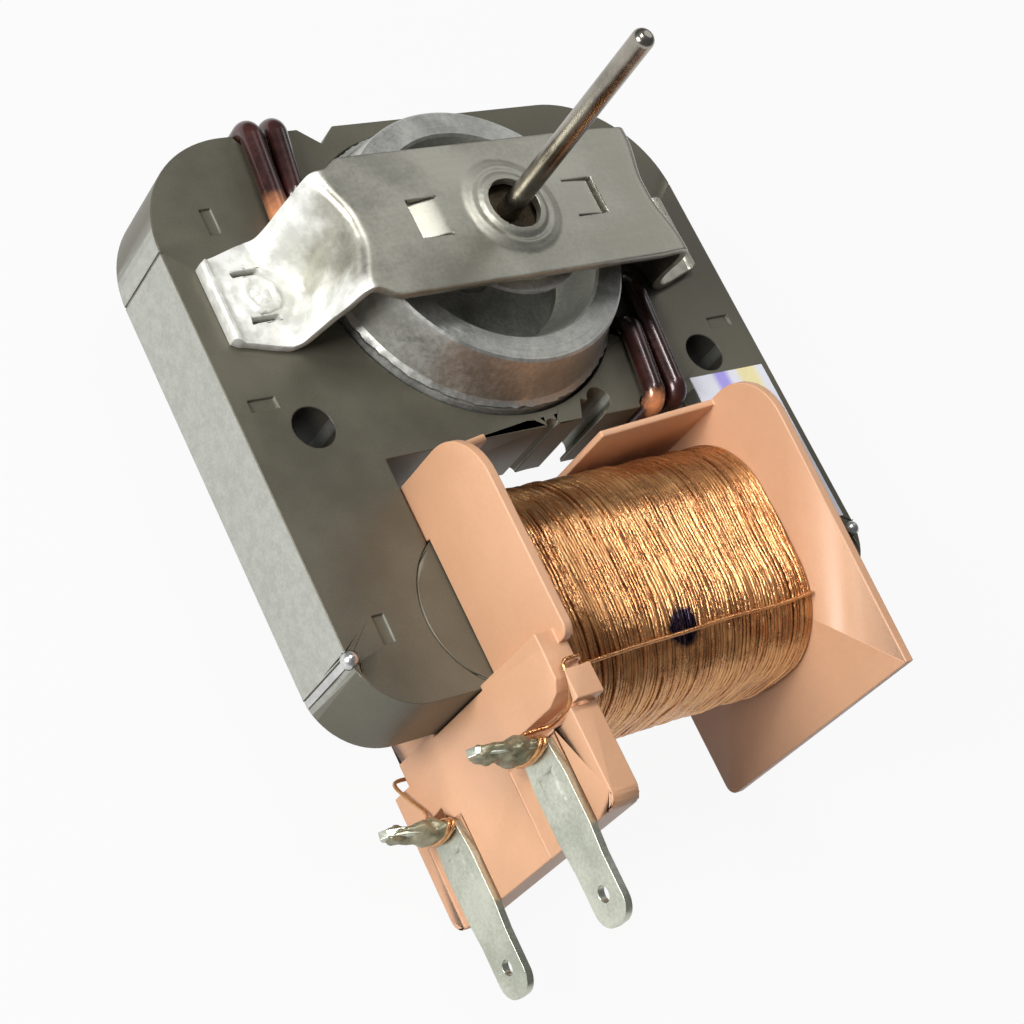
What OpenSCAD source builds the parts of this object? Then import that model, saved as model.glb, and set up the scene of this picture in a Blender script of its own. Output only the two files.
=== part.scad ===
// Shaded-pole fan motor of a microwave oven.
// +Z runs along the shaft, towards its free end. +X runs along the coil.
// The origin lies midway between the two mounting holes, on the front face of the stack.
// Heights are measured from the line through the mounting holes: up is towards the rotor.

/* [Stack] */
// Width of the lamination stack
stack_w = 63; // [61:0.5:66]
// Thickness of the stack, front face to rear face
stack_t = 9.5; // [8:0.25:12]
// Height of the stack's top edge above the hole line
stack_top = 32.2; // [31.5:0.1:34]
// Depth of the stack's bottom edge below the hole line
stack_drop = 28.4; // [28:0.1:30]
// Radius of the two top corners
top_corner_r = 12; // [8:0.5:13]
// Radius of the two bottom corners
bottom_corner_r = 6.7; // [5:0.1:7]
// Distance between the two mounting holes
hole_pitch = 48.4; // [47:0.1:50]
// Diameter of the mounting holes
hole_d = 4.3; // [3.5:0.1:4.6]
// Height of the shaft above the hole line
shaft_rise = 13.8; // [13.5:0.1:14.2]
// Radius of the bore that the rotor turns in
bore_r = 16.7; // [16.6:0.05:16.9]
// Width of the coil window
window_w = 36.8; // [36.6:0.1:37.4]
// Depth of the window's top edge below the hole line
window_drop = 4.6; // [4.3:0.05:4.8]
// Depth of the notches that mark the thin bridges of the stack
bridge_notch = 1.9; // [1:0.1:2]
// Length of the pressed interlocks of the laminations
interlock_l = 2.9; // [2:0.1:3.5]
// Width of the pressed interlocks
interlock_w = 1.3; // [1:0.1:1.8]
// Depth of the pressed interlocks
interlock_depth = 0.3; // [0.1:0.05:0.6]
// Radius of the welded seams in the stack's sides
bead_r = 0.4; // [0.3:0.05:0.5]
// Radius of the weld drops at the seams' front ends
weld_drop_r = 0.85; // [0.6:0.05:1]

/* [Coil core] */
// Height of the bar that the coil sits on
core_h = 14.9; // [14:0.1:15]
// Radius of the bar's round ends
core_end_r = 8.8; // [8.2:0.1:9]
// Distance between the centres of the two round ends
core_end_pitch = 26.6; // [26:0.1:27]
// Seam between the bar and the stack
core_seam = 0.06; // [0.02:0.01:0.1]

/* [Bobbin] */
// Thickness of the two flanges
flange_t = 1; // [0.8:0.1:1.4]
// Distance between the inner faces of the flanges
coil_l = 34.2; // [33:0.1:34.3]
// Wall of the tube around the bar
tube_wall = 1; // [0.7:0.1:1.3]
// Gap between the tube and the bar
tube_gap = 0.15; // [0.05:0.05:0.3]
// How far the flanges stand out in front of the stack
flange_out = 12.3; // [11.5:0.1:14]
// How far the flanges stand out behind the stack
flange_back = 10.4; // [9.5:0.1:11]
// Depth of the flanges' top edge below the hole line
flange_drop = 7.5; // [7.2:0.1:7.9]
// Radius of the flanges' top corners
flange_corner_r = 6; // [3:0.5:8]
// How far the plain flange reaches below the stack
plain_l = 12.2; // [9.6:0.1:14.6]
// Thickness of the terminal block
block_t = 3; // [2.6:0.1:3.4]
// How far the terminal block reaches below the stack
block_l = 16.2; // [15.1:0.1:18.6]
// How far the terminal block stands out in front of the stack
block_out = 10.6; // [10:0.1:11.2]
// Length of the short insulating tongue
short_tongue = 5.8; // [3:0.1:8]
// Length of the long insulating tongue
long_tongue = 15; // [10:0.5:18]
// Thickness of the tongues
tongue_t = 0.7; // [0.5:0.05:0.9]

/* [Winding] */
// How far the winding stands out in front of the stack
coil_out = 5.6; // [4:0.1:7.5]
// How far the winding stands above the bar
coil_over = 4; // [3.5:0.1:4.2]
// How far the winding stands below the bar
coil_under = 6; // [4.1:0.1:7.6]
// Radius of the winding's corners
coil_corner_r = 8.7; // [3:0.1:9]
// Diameter of the magnet wire
magnet_wire_d = 0.4; // [0.3:0.02:0.5]

/* [Terminals] */
// Width of the blades
blade_w = 4.8; // [4.5:0.1:5.1]
// Width of the terminals where they lie in the block
shoulder_w = 5.4; // [5.1:0.1:5.8]
// Thickness of the blades
blade_t = 0.8; // [0.6:0.1:1]
// Length of a blade below the terminal block
blade_l = 8.4; // [7:0.1:10]
// Distance between the two blades
blade_pitch = 18; // [17:0.1:18.6]
// Width of the neck above a blade
neck_w = 4.4; // [3:0.1:5]
// Length of the wire post that stands out of a terminal
post_l = 7; // [5:0.1:9]
// Diameter of the hole near the tip of a blade
blade_hole_d = 1.5; // [1.2:0.1:1.8]

/* [Shading rings] */
// Diameter of the shading ring wire
ring_wire_d = 2.3; // [1.8:0.05:2.4]
// Gap between the wire and the sides of its slots
ring_gap = 0.06; // [0.02:0.01:0.12]
// Sideways place of the outer rings' straight run at the stack's edge
outer_run_x = 17; // [16.8:0.05:17.1]
// Sideways place of the inner rings' straight run at the stack's edge
inner_run_x = 14.1; // [13.9:0.05:14.2]
// Angle of the outer rings' slot below the shaft's level
outer_slot_deg = 14; // [13.5:0.5:16]
// Angle of the inner rings' slot below the shaft's level
inner_slot_deg = 31; // [29:0.5:33]
// How deep the outer rings' slot lies outside the bore
outer_slot_depth = 2.3; // [2:0.1:2.4]
// How deep the inner rings' slot lies outside the bore
inner_slot_depth = 1.5; // [1.3:0.1:1.8]

/* [Brackets] */
// Height of a bracket's flat bridge above the face that it is riveted to
bracket_rise = 11; // [10.6:0.1:12]
// Thickness of the sheet
sheet_t = 1; // [0.7:0.05:1.2]
// Width of the bridge
bridge_w = 15.5; // [15:0.1:17]
// Length of the bridge at its edges
bridge_l = 43; // [41:0.1:44]
// Width of the feet
foot_w = 12.2; // [11:0.1:13]
// Width of the feet at their outer ends
foot_end_w = 9.4; // [8:0.1:11]
// Distance between the outer ends of the feet
foot_span = 57.8; // [56:0.1:59]
// Distance between the two rivets
rivet_pitch = 48; // [47:0.1:49]
// Diameter of the rivets
rivet_d = 3; // [2.4:0.1:3.2]
// Radius of the dish around a rivet, at the level of the bridge
dish_r = 6; // [5.6:0.1:6.3]
// Radius of the dish around a rivet, at the level of the foot
dish_floor_r = 4.9; // [4.5:0.1:5.2]
// Radius of the raised boss around the shaft
boss_r = 5.4; // [5:0.1:6]
// Height of the boss above the bridge
boss_h = 0.6; // [0.3:0.05:0.9]
// Radius of the hole in the boss
boss_hole_r = 2.8; // [2.3:0.1:3]
// Width of the lanced tabs beside the boss
tab_w = 4; // [3:0.1:5]
// Sideways place of the tabs' roots
tab_root_x = 7.6; // [7:0.1:8]
// Length of the tabs
tab_l = 3.3; // [2.8:0.1:4]

/* [Bearings] */
// Radius of the round bearing bushes
bush_r = 4.3; // [4:0.05:4.6]
// Length of the bushes
bush_l = 5; // [4:0.1:5.6]
// Running clearance between the shaft and a bush, on the radius
shaft_gap = 0.03; // [0.01:0.01:0.1]
// Radius of the spring retainers that hold the bushes
retainer_r = 8.5; // [7.6:0.1:9]
// Thickness of the retainers
retainer_t = 0.5; // [0.3:0.05:0.6]
// Thickness of the oil felts
felt_t = 0.9; // [0.7:0.1:1.2]

/* [Rotor] */
// Diameter of the shaft
shaft_d = 2.2; // [1.9:0.05:2.5]
// How far the shaft's tip stands in front of the stack
shaft_tip = 37; // [30:0.5:45]
// Gap between the rotor and the bore
air_gap = 0.35; // [0.3:0.05:0.5]
// How far the rotor's laminations stand out of the stack at each end
rotor_over = 0.4; // [0.2:0.1:0.8]
// Height of a cast end ring above the rotor's laminations
end_ring_h = 6; // [5:0.1:6.2]
// How much smaller the end ring's root is than the rotor, on the radius
end_ring_step = 0.35; // [0.2:0.05:0.6]
// Slant of the end ring's outside, on the radius
end_ring_draft = 1.3; // [0.5:0.1:2]
// Radius of the hollow in the end ring, at its rim
hollow_r = 11.7; // [11:0.1:12.2]
// Radius of the hollow in the end ring, at its floor
hollow_floor_r = 9.8; // [8.5:0.1:10.5]
// Number of cast bars in the rotor
bar_count = 17; // [12:1:20]
// Diameter of the cast bars
bar_d = 2.2; // [1.6:0.1:2.4]
// Radius of the spacers and washers on the shaft
washer_r = 3; // [2.4:0.1:3.4]
// Thickness of the thrust washers
washer_t = 0.5; // [0.3:0.05:0.8]
// Axial play of the rotor at each end
end_play = 0.3; // [0.2:0.05:0.4]

/* [Label] */
// Width of the rating label
label_w = 10.1; // [6:0.1:11]
// Height of the rating label
label_h = 18.4; // [10:0.1:20]
// Thickness of the rating label
label_t = 0.12; // [0.05:0.01:0.2]
// Gap between the label and the bobbin's plain flange
label_gap = 2.4; // [1:0.1:2.6]
// Depth of the label's top edge below the hole line
label_drop = 2.6; // [2.4:0.1:6]

/* [Hidden] */
$fn = 64;

// Flat faces that are cut through reach this much past the solid
cut = 1;
mid_z = -stack_t / 2;
core_top = core_h - stack_drop;
core_mid_y = core_top - core_h / 2;
coil_top = core_top + coil_over;
coil_bottom = -stack_drop - coil_under;
block_bottom = -stack_drop - block_l;
plain_bottom = -stack_drop - plain_l;
ring_slot_r = ring_wire_d / 2 + ring_gap;
rotor_r = bore_r - air_gap;
shaft_r = shaft_d / 2;
press_gap = 0.01;

// Heights of the pieces stacked under a bracket, above the face of the stack
under_bridge = bracket_rise - sheet_t;
felt_seat = under_bridge - felt_t;
retainer_seat = felt_seat - retainer_t;
bush_end = under_bridge;
bush_start = bush_end - bush_l;
bush_mid = bush_start + bush_l / 2;
thrust_seat = bush_start - end_play - washer_t;

// Places on the terminal block
inner_x = coil_l / 2;
outer_x = inner_x + flange_t;
block_x = inner_x + block_t;
flange_front = flange_out;
flange_rear = -stack_t - flange_back;
block_front = block_out;
block_rear = -stack_t - block_out;
block_top = -stack_drop - tube_gap;
lead_slot_top = block_top - 1.75;
lead_slot_w = 2;
rear_slot_top = block_top + 0.15;
rear_slot_z = -stack_t - 7.5;
block_lip_y = block_top + 0.4;
channel_w = 1.7;
channel_floor = block_top - 5.65;
neck_top = channel_floor - channel_w - 0.3;
terminal_seat = 0.1;
terminal_x = block_x - terminal_seat;
front_blade_z = mid_z + blade_pitch / 2;
rear_blade_z = mid_z - blade_pitch / 2;
stub_r = 0.55;
stub_l = 0.6;
stub_y = neck_top - 5;
post_tilt = 13;
post_tip_w = 1.4;

module at_shaft() { translate([0, shaft_rise, 0]) children(); }

// The rear half of the motor mirrors the front half
module behind_stack() { translate([0, 0, -stack_t]) mirror([0, 0, 1]) children(); }

// Draws an outline given as (height, depth) and gives it a length along X
module along_x(from, to) {
    translate([from, 0, 0]) rotate([90, 0, 90]) linear_extrude(to - from) children();
}

module box(low, high) { translate(low) cube(high - low); }

// A thin wire as one tube swept along a list of points
function unit(v) = v / norm(v);
function last(p) = len(p) - 1;
function headings(p) = [for (i = [0 : last(p)]) unit(p[min(i + 1, last(p))] - p[max(i - 1, 0)])];
function levelled(side, heading) = unit(side - (side * heading) * heading);
function side_list(d, i, side) =
    i == len(d) ? [] : let(s = levelled(side, d[i])) concat([s], side_list(d, i + 1, s));
// Cuts the corners of a list of points, so that the wire bends softly
function eased(p) = concat([p[0]],
    [for (i = [0 : last(p) - 1], share = [0.25, 0.75]) p[i] + share * (p[i + 1] - p[i])], [p[last(p)]]);

module wire(points, r) {
    route = eased(eased(points));
    n = 8;
    d = headings(route);
    s = side_list(d, 0, [0.36, 0.48, 0.8]);
    rim = [for (i = [0 : last(route)], k = [0 : n - 1])
        route[i] + r * (cos(k * 360 / n) * s[i] + sin(k * 360 / n) * cross(d[i], s[i]))];
    near = [for (i = [0 : last(route) - 1], k = [0 : n - 1])
        [i * n + k, (i + 1) * n + k, (i + 1) * n + (k + 1) % n]];
    far = [for (i = [0 : last(route) - 1], k = [0 : n - 1])
        [i * n + k, (i + 1) * n + (k + 1) % n, i * n + (k + 1) % n]];
    ends = [[for (k = [0 : n - 1]) k], [for (k = [n - 1 : -1 : 0]) last(route) * n + k]];
    polyhedron(rim, concat(near, far, ends));
}

// A rectangle from one corner to another with one radius at each pair of corners
module rounded(low, high, low_r, high_r) {
    translate([low[0], low[1] + low_r]) square([high[0] - low[0], high[1] - low[1] - low_r - high_r]);
    translate([low[0] + low_r, low[1]]) square([high[0] - low[0] - 2 * low_r, low_r + 0.01]);
    translate([low[0] + high_r, high[1] - high_r - 0.01]) square([high[0] - low[0] - 2 * high_r, high_r + 0.01]);
    for (x = [low[0] + low_r, high[0] - low_r]) translate([x, low[1] + low_r]) circle(low_r);
    for (x = [low[0] + high_r, high[0] - high_r]) translate([x, high[1] - high_r]) circle(high_r);
}

// Stack of laminations

module core_outline(gap) {
    intersection() {
        translate([-stack_w / 2, core_mid_y - core_h / 2 - gap]) square([stack_w, core_h + 2 * gap]);
        union() {
            translate([-core_end_pitch / 2, core_mid_y - stack_w / 2]) square([core_end_pitch, stack_w]);
            for (side = [-1, 1])
                translate([side * core_end_pitch / 2, core_mid_y]) circle(core_end_r + gap);
        }
    }
}

// Places of the shading rings in one pole: the slot beside the bore and the run at the edge
function slot_centre(depth, angle) = (bore_r + depth) * [cos(angle), -sin(angle)];
function run_centre(x) = [x, -window_drop - shaft_rise];

module ring_cuts(run_x, depth, angle) {
    centre = slot_centre(depth, angle);
    translate(centre) circle(ring_slot_r);
    rotate(-angle) translate([bore_r - cut, -ring_slot_r]) square([depth + cut, 2 * ring_slot_r]);
    translate(run_centre(run_x)) circle(ring_slot_r);
}

module pole_cuts() {
    ring_cuts(outer_run_x, outer_slot_depth, outer_slot_deg);
    ring_cuts(inner_run_x, inner_slot_depth, inner_slot_deg);
}

module interlock(x, y, turn) {
    translate([x, y, -interlock_depth]) rotate(turn) translate([-interlock_l / 2, -interlock_w / 2, 0])
        cube([interlock_l, interlock_w, interlock_depth + cut]);
}

// The seams lie just under the stack's side faces, a fine mark runs across each side higher up
weld_x = stack_w / 2 - bead_r / 2;
weld_y = bottom_corner_r - stack_drop - 0.8;
mark_y = stack_top - top_corner_r + 0.2;
mark_depth = 0.15;

// Places both weld drops, at the front ends of the seams
module at_weld_drops() {
    for (side = [-1, 1])
        translate([side * (stack_w / 2 - weld_drop_r / 2), weld_y, -weld_drop_r / 2]) children();
}

module stator_core() {
    notch_x = 8.7;
    notch_half_w = 2.1;
    keyhole_r = 1.3;
    color("#5c5a4f") difference() {
        translate([0, 0, -stack_t]) linear_extrude(stack_t) difference() {
            rounded([-stack_w / 2, -stack_drop], [stack_w / 2, stack_top], bottom_corner_r, top_corner_r);
            translate([-window_w / 2, core_mid_y]) square([window_w, -window_drop - core_mid_y]);
            core_outline(core_seam);
            translate([-core_end_pitch / 2, -stack_drop - cut]) square([core_end_pitch, core_h]);
            translate([0, shaft_rise]) {
                circle(bore_r);
                for (turn = [0, 180]) rotate(turn) pole_cuts();
                translate([notch_x - 0.4, -bore_r + 0.1]) circle(keyhole_r);
            }
            translate([notch_x - 2.2, -window_drop - 0.5])
                rotate(-22) translate([-keyhole_r, 0]) square([2 * keyhole_r, 2.4]);
            translate([1.5, -window_drop]) circle(0.7);
            translate([-notch_x, stack_top])
                polygon([[-notch_half_w, cut], [-notch_half_w, 0], [0, -bridge_notch], [notch_half_w, 0],
                    [notch_half_w, cut]]);
            for (side = [-1, 1]) {
                translate([side * hole_pitch / 2, 0]) circle(d = hole_d);
                translate([side * rivet_pitch / 2, shaft_rise]) circle(rivet_d / 2 + press_gap);
                translate([side * weld_x, weld_y]) circle(bead_r);
                translate([side * stack_w / 2, mark_y]) circle(mark_depth, $fn = 4);
            }
        }
        interlock(-24.9, 23, 90);
        for (side = [-1, 1]) {
            interlock(side * 28.2, 3.2, 0);
            interlock(side * 26.7, -20.6, 90);
        }
        at_weld_drops() sphere(weld_drop_r + press_gap);
    }
}

module coil_core() {
    color("#67645a") translate([0, 0, -stack_t]) linear_extrude(stack_t) core_outline(0);
}

// Weld beads that tie the laminations together, sunk in grooves and ending in a drop in front
module seam_welds() {
    sink = 0.12;
    color("#8d8c84") {
        translate([0, 0, -stack_t]) linear_extrude(stack_t) intersection() {
            for (side = [-1, 1]) translate([side * weld_x, weld_y]) circle(bead_r - press_gap);
            translate([sink - stack_w / 2, weld_y - bead_r]) square([stack_w - 2 * sink, 2 * bead_r]);
        }
        at_weld_drops() sphere(weld_drop_r);
    }
}

// Shading rings: each is one closed loop of thick wire around a pole tip

module shading_ring(run_x, depth, angle) {
    low = run_centre(run_x);
    chord = slot_centre(depth, angle) - low;
    span = norm(chord);
    r = ring_wire_d / 2;
    bend = r + ring_gap;
    translate([low[0], low[1], 0]) rotate(atan2(chord[1], chord[0])) {
        for (x = [0, span]) translate([x, 0, -stack_t]) cylinder(h = stack_t, r = r);
        for (z = [bend, -stack_t - bend]) translate([bend, 0, z])
            rotate([0, 90, 0]) cylinder(h = span - 2 * bend, r = r);
        for (near = [0, 1], rear = [0, 1])
            translate([near * span, 0, -rear * stack_t]) mirror([near, 0, 0]) mirror([0, 0, rear])
                translate([bend, 0, 0]) mirror([1, 0, 0]) rotate([90, 0, 0])
                    rotate_extrude(angle = 90) translate([bend, 0]) circle(r);
    }
}

module upper_outer_shading_ring() {
    color("#4a221d") at_shaft() rotate(180) shading_ring(outer_run_x, outer_slot_depth, outer_slot_deg);
}

module upper_inner_shading_ring() {
    color("#4a221d") at_shaft() rotate(180) shading_ring(inner_run_x, inner_slot_depth, inner_slot_deg);
}

module lower_outer_shading_ring() {
    color("#4a221d") at_shaft() shading_ring(outer_run_x, outer_slot_depth, outer_slot_deg);
}

module lower_inner_shading_ring() {
    color("#4a221d") at_shaft() shading_ring(inner_run_x, inner_slot_depth, inner_slot_deg);
}

// Bobbin, moulded in one piece with its terminal block

tube_low = [core_mid_y - core_h / 2 - tube_gap - tube_wall, -stack_t - tube_gap - tube_wall];
tube_high = [core_mid_y + core_h / 2 + tube_gap + tube_wall, tube_gap + tube_wall];

module core_hole() {
    translate([core_mid_y - core_h / 2 - tube_gap, -stack_t - tube_gap])
        square([core_h + 2 * tube_gap, stack_t + 2 * tube_gap]);
}

// The outlines below are drawn as (height, depth), so their corners are given the other way round
module upright(low, high, low_r, high_r) {
    mirror([1, -1]) rounded(low, high, low_r, high_r);
}

module flange_outline(bottom) {
    low_corner_r = 1.2;
    upright([flange_rear, bottom], [flange_front, -flange_drop], low_corner_r, flange_corner_r);
}

// The groove that leads the first wire from the winding to its terminal
module lead_channel() {
    nose_z = block_front;
    polygon([
        [lead_slot_top, flange_front + cut], [lead_slot_top, nose_z],
        [lead_slot_top - 2.3, nose_z - 0.1], [channel_floor + 0.6, nose_z - 0.9],
        [channel_floor, nose_z - 2.6], [channel_floor, front_blade_z - neck_w / 2],
        [channel_floor - channel_w, front_blade_z - neck_w / 2], [channel_floor - channel_w, nose_z - 1.8],
        [channel_floor - 0.9, nose_z + 0.6], [lead_slot_top - lead_slot_w, flange_front - 0.2],
        [lead_slot_top - lead_slot_w, flange_front + cut]]);
}

// Where a terminal lies in the outer face of the block
module terminal_pocket(z, low, high) {
    box([-block_x - cut, block_bottom - cut, z - low], [-terminal_x, neck_top + 0.25, z + high]);
}

// Slots that lead the two wires through the flange
module wire_slots() {
    box([-block_x - cut, lead_slot_top - lead_slot_w, block_front],
        [-inner_x + cut, lead_slot_top, flange_front + cut]);
    box([-block_x - cut, rear_slot_top - lead_slot_w, flange_rear - cut],
        [-inner_x + cut, rear_slot_top, rear_slot_z]);
}

module terminal_block() {
    difference() {
        union() {
            along_x(-block_x, -inner_x)
                upright([block_rear, block_bottom], [block_front, block_top], 1.5, 0.2);
            // The block reaches a little higher in front of the stack and behind it
            box([-block_x, block_top - cut, tube_gap], [-inner_x, block_lip_y, block_front]);
            box([-block_x, block_top - cut, rear_slot_z], [-inner_x, block_lip_y, -stack_t - tube_gap]);
            // The post beside the mouth of the groove
            box([-block_x, channel_floor - 1, block_front - cut],
                [-inner_x, lead_slot_top - lead_slot_w, flange_front - 0.2]);
        }
        along_x(-block_x - cut, -outer_x) lead_channel();
        along_x(-block_x - cut, -outer_x)
            polygon([[channel_floor, rear_blade_z + 0.2], [channel_floor - channel_w, rear_blade_z + 0.2],
                [channel_floor - 2.2, rear_blade_z - 2.8], [channel_floor - 0.3, rear_blade_z - 3.5]]);
        terminal_pocket(front_blade_z, shoulder_w / 2 + 3, shoulder_w / 2 + 0.05);
        terminal_pocket(rear_blade_z, shoulder_w / 2 + 1.9, shoulder_w / 2 + 0.05);
        for (z = [front_blade_z, rear_blade_z])
            translate([-terminal_x - cut, stub_y, z])
                rotate([0, 90, 0]) cylinder(h = cut + stub_l + 0.1, r = stub_r + press_gap);
    }
}

module tongue(length, drop, low_z, high_z) {
    // One end at the flange, the other drop lower, drawn as (distance from the flange, height)
    top = -flange_drop;
    translate([0, 0, low_z]) linear_extrude(high_z - low_z)
        polygon([[-flange_t / 2, top - tongue_t], [0, top - tongue_t], [length, top - drop - tongue_t],
            [length, top - drop], [0, top], [-flange_t / 2, top]]);
}

module bobbin() {
    long_drop = 0.9;
    short_drop = -0.9;
    tongue_front = 5;
    plain_lean = 0.9;
    color("#e8b496") difference() {
        union() {
            along_x(-inner_x - flange_t / 2, inner_x + flange_t / 2) difference() {
                translate(tube_low) square(tube_high - tube_low);
                core_hole();
            }
            along_x(-outer_x, -inner_x) difference() {
                flange_outline(block_top - cut);
                core_hole();
            }
            along_x(inner_x, outer_x) difference() {
                flange_outline(plain_bottom);
                core_hole();
                // The front edge leans back towards its bottom
                polygon([[core_top, flange_front], [plain_bottom - cut, flange_front - plain_lean],
                    [plain_bottom - cut, flange_front + cut], [core_top, flange_front + cut]]);
            }
            terminal_block();
            translate([-inner_x, 0, 0])
                tongue(short_tongue, short_drop, -stack_t - tongue_front, tongue_front + 0.8);
            translate([inner_x, 0, 0]) mirror([1, 0, 0])
                tongue(long_tongue, long_drop, -stack_t - tongue_front, tongue_front);
        }
        wire_slots();
    }
}

// Winding and its two leads

coil_wire_r = magnet_wire_d / 2;

module winding() {
    color("#b5672f") along_x(-inner_x, inner_x) difference() {
        upright([-stack_t - coil_out, coil_bottom], [coil_out, coil_top], coil_corner_r, coil_corner_r);
        translate(tube_low) square(tube_high - tube_low);
    }
}

// Where the two leads leave the winding, and how deep their ends lie under the posts' tips
lead_start = [-inner_x + 8, coil_bottom + coil_corner_r - 2.6];
channel_mid = channel_floor - channel_w / 2;
lead_end = [-block_x - 1.75, neck_top + 1.3];
lead_x = -block_x + 1;

module start_lead() {
    r = coil_wire_r;
    slot_y = lead_slot_top - lead_slot_w / 2;
    color("#9a4a22") wire([
        concat(lead_start, coil_out + r),
        [-inner_x + 1.4, slot_y, block_front + 0.7],
        [lead_x, slot_y, block_front + 0.7],
        [lead_x, lead_slot_top - 2.6, block_front + 0.6],
        [lead_x, channel_mid + 0.5, block_front - 0.8],
        [lead_x, channel_mid, block_front - 3],
        [lead_x, channel_mid, front_blade_z + 1.4],
        [-block_x - 0.4, channel_mid + 0.2, front_blade_z + 1],
        concat(lead_end, front_blade_z + 0.6)], r);
}

module finish_lead() {
    r = coil_wire_r;
    slot_y = rear_slot_top - lead_slot_w / 2;
    slot_z = rear_slot_z - 1.1;
    color("#9a4a22") wire([
        concat(lead_start, -stack_t - coil_out - r),
        [-inner_x + 1.4, slot_y, slot_z],
        [-block_x - 0.6, slot_y, slot_z],
        [-block_x - 0.6, channel_floor + 0.6, rear_blade_z - 1.6],
        concat(lead_end, rear_blade_z - 0.6)], r);
}

// Terminals: a blade, a neck and a post that the wire end is soldered to

module blade_outline() {
    tip = block_bottom - blade_l;
    shoulder = block_bottom - 2.6;
    tip_r = 1.9;
    difference() {
        union() {
            translate([tip + tip_r, -blade_w / 2]) square([shoulder - tip - tip_r, blade_w]);
            for (side = [-1, 1]) translate([tip + tip_r, side * (blade_w / 2 - tip_r)]) circle(tip_r);
            translate([tip, -blade_w / 2 + tip_r]) square([tip_r, blade_w - 2 * tip_r]);
            polygon([[shoulder, -blade_w / 2], [block_bottom + 0.2, -shoulder_w / 2],
                [block_bottom + 5, -shoulder_w / 2], [neck_top, -neck_w / 2],
                [neck_top, neck_w / 2], [block_bottom + 5, shoulder_w / 2],
                [block_bottom + 0.2, shoulder_w / 2], [shoulder, blade_w / 2]]);
        }
        translate([tip + 2.9, 0]) circle(d = blade_hole_d);
    }
}

module terminal(z) {
    rib_h = 0.4;
    rib_r = 2.6;
    rib_end_r = 4.2;
    rib_y = block_bottom + 4.4;
    translate([-terminal_x - blade_t, 0, z]) {
        rotate([90, 0, 90]) linear_extrude(blade_t) blade_outline();
        // Rib pressed outwards in the neck
        intersection() {
            translate([rib_r - rib_h, rib_y - 3, 0]) rotate([-90, 0, 0]) cylinder(h = 6, r = rib_r);
            translate([rib_end_r - rib_h, rib_y, -3]) cylinder(h = 6, r = rib_end_r);
            translate([-1, rib_y - 3, -3]) cube([1 + blade_t / 2, 6, 6]);
        }
        // Stub that holds the terminal in the block
        translate([blade_t / 2, stub_y, 0]) rotate([0, 90, 0]) cylinder(h = blade_t / 2 + stub_l, r = stub_r);
        // Post, bent out of the neck
        translate([blade_t, neck_top, 0]) rotate([0, 0, -post_tilt])
            rotate([90, 0, 0]) linear_extrude(blade_t)
                    polygon([[0, -neck_w / 2], [-post_l, -post_tip_w / 2], [-post_l - 0.5, 0],
                        [-post_l, post_tip_w / 2], [0, neck_w / 2]]);
    }
}

module front_terminal() { color("#c8c9b6") terminal(front_blade_z); }

module rear_terminal() { color("#c8c9b6") terminal(rear_blade_z); }

// Solder at the root of each post
module solder_joints() {
    lump_r = 1.2;
    color("#a9a58c") for (z = [front_blade_z, rear_blade_z])
        translate([-terminal_x, neck_top, z]) rotate([0, 0, -post_tilt]) intersection() {
            translate([-3.4, 0, 0]) sphere(lump_r);
            translate([-6, 0, -lump_r]) cube([6, 2 * lump_r, 2 * lump_r]);
        }
}

// Brackets: one pressed strip of sheet across the rotor at each end

module bracket_solid(rise, dish_offset, reach) {
    // The raised bridge less the dishes around the rivets
    difference() {
        translate([-bridge_l / 2 + dish_offset, -reach / 2, -cut])
            cube([bridge_l - 2 * dish_offset, reach, rise + cut]);
        for (side = [-1, 1]) translate([side * rivet_pitch / 2, 0, 0])
            translate([0, 0, -cut])
                cylinder(h = bracket_rise + 2 * cut,
                    r1 = dish_floor_r + dish_offset - cut * (dish_r - dish_floor_r) / bracket_rise,
                    r2 = dish_r + dish_offset + cut * (dish_r - dish_floor_r) / bracket_rise);
    }
}

module bracket_plan() {
    corner_r = 1.5;
    rounded([-bridge_l / 2, -bridge_w / 2], [bridge_l / 2, bridge_w / 2], corner_r, corner_r);
    for (side = [0, 1]) mirror([side, 0])
        polygon([[bridge_l / 2 - 2 * corner_r, -foot_w / 2], [foot_span / 2 - 2, -foot_w / 2 + 0.4],
            [foot_span / 2, -foot_end_w / 2], [foot_span / 2, foot_end_w / 2],
            [foot_span / 2 - 2, foot_w / 2 - 0.4], [bridge_l / 2 - 2 * corner_r, foot_w / 2]]);
}

// Cuts both tabs free of the bridge on three sides and leans them inwards
module lanced_tabs() {
    slit = 0.45;
    lean = 9;
    difference() {
        children();
        for (side = [0, 1]) mirror([side, 0, 0])
            translate([tab_root_x, -tab_w / 2, bracket_rise - sheet_t - cut])
                cube([tab_l + slit, tab_w, sheet_t + 2 * cut]);
    }
    for (side = [0, 1]) mirror([side, 0, 0])
        translate([tab_root_x, -tab_w / 2 + 0.05, bracket_rise]) rotate([0, lean, 0])
            translate([-0.15, 0, -sheet_t]) cube([tab_l, tab_w - 0.1, sheet_t]);
}

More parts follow.
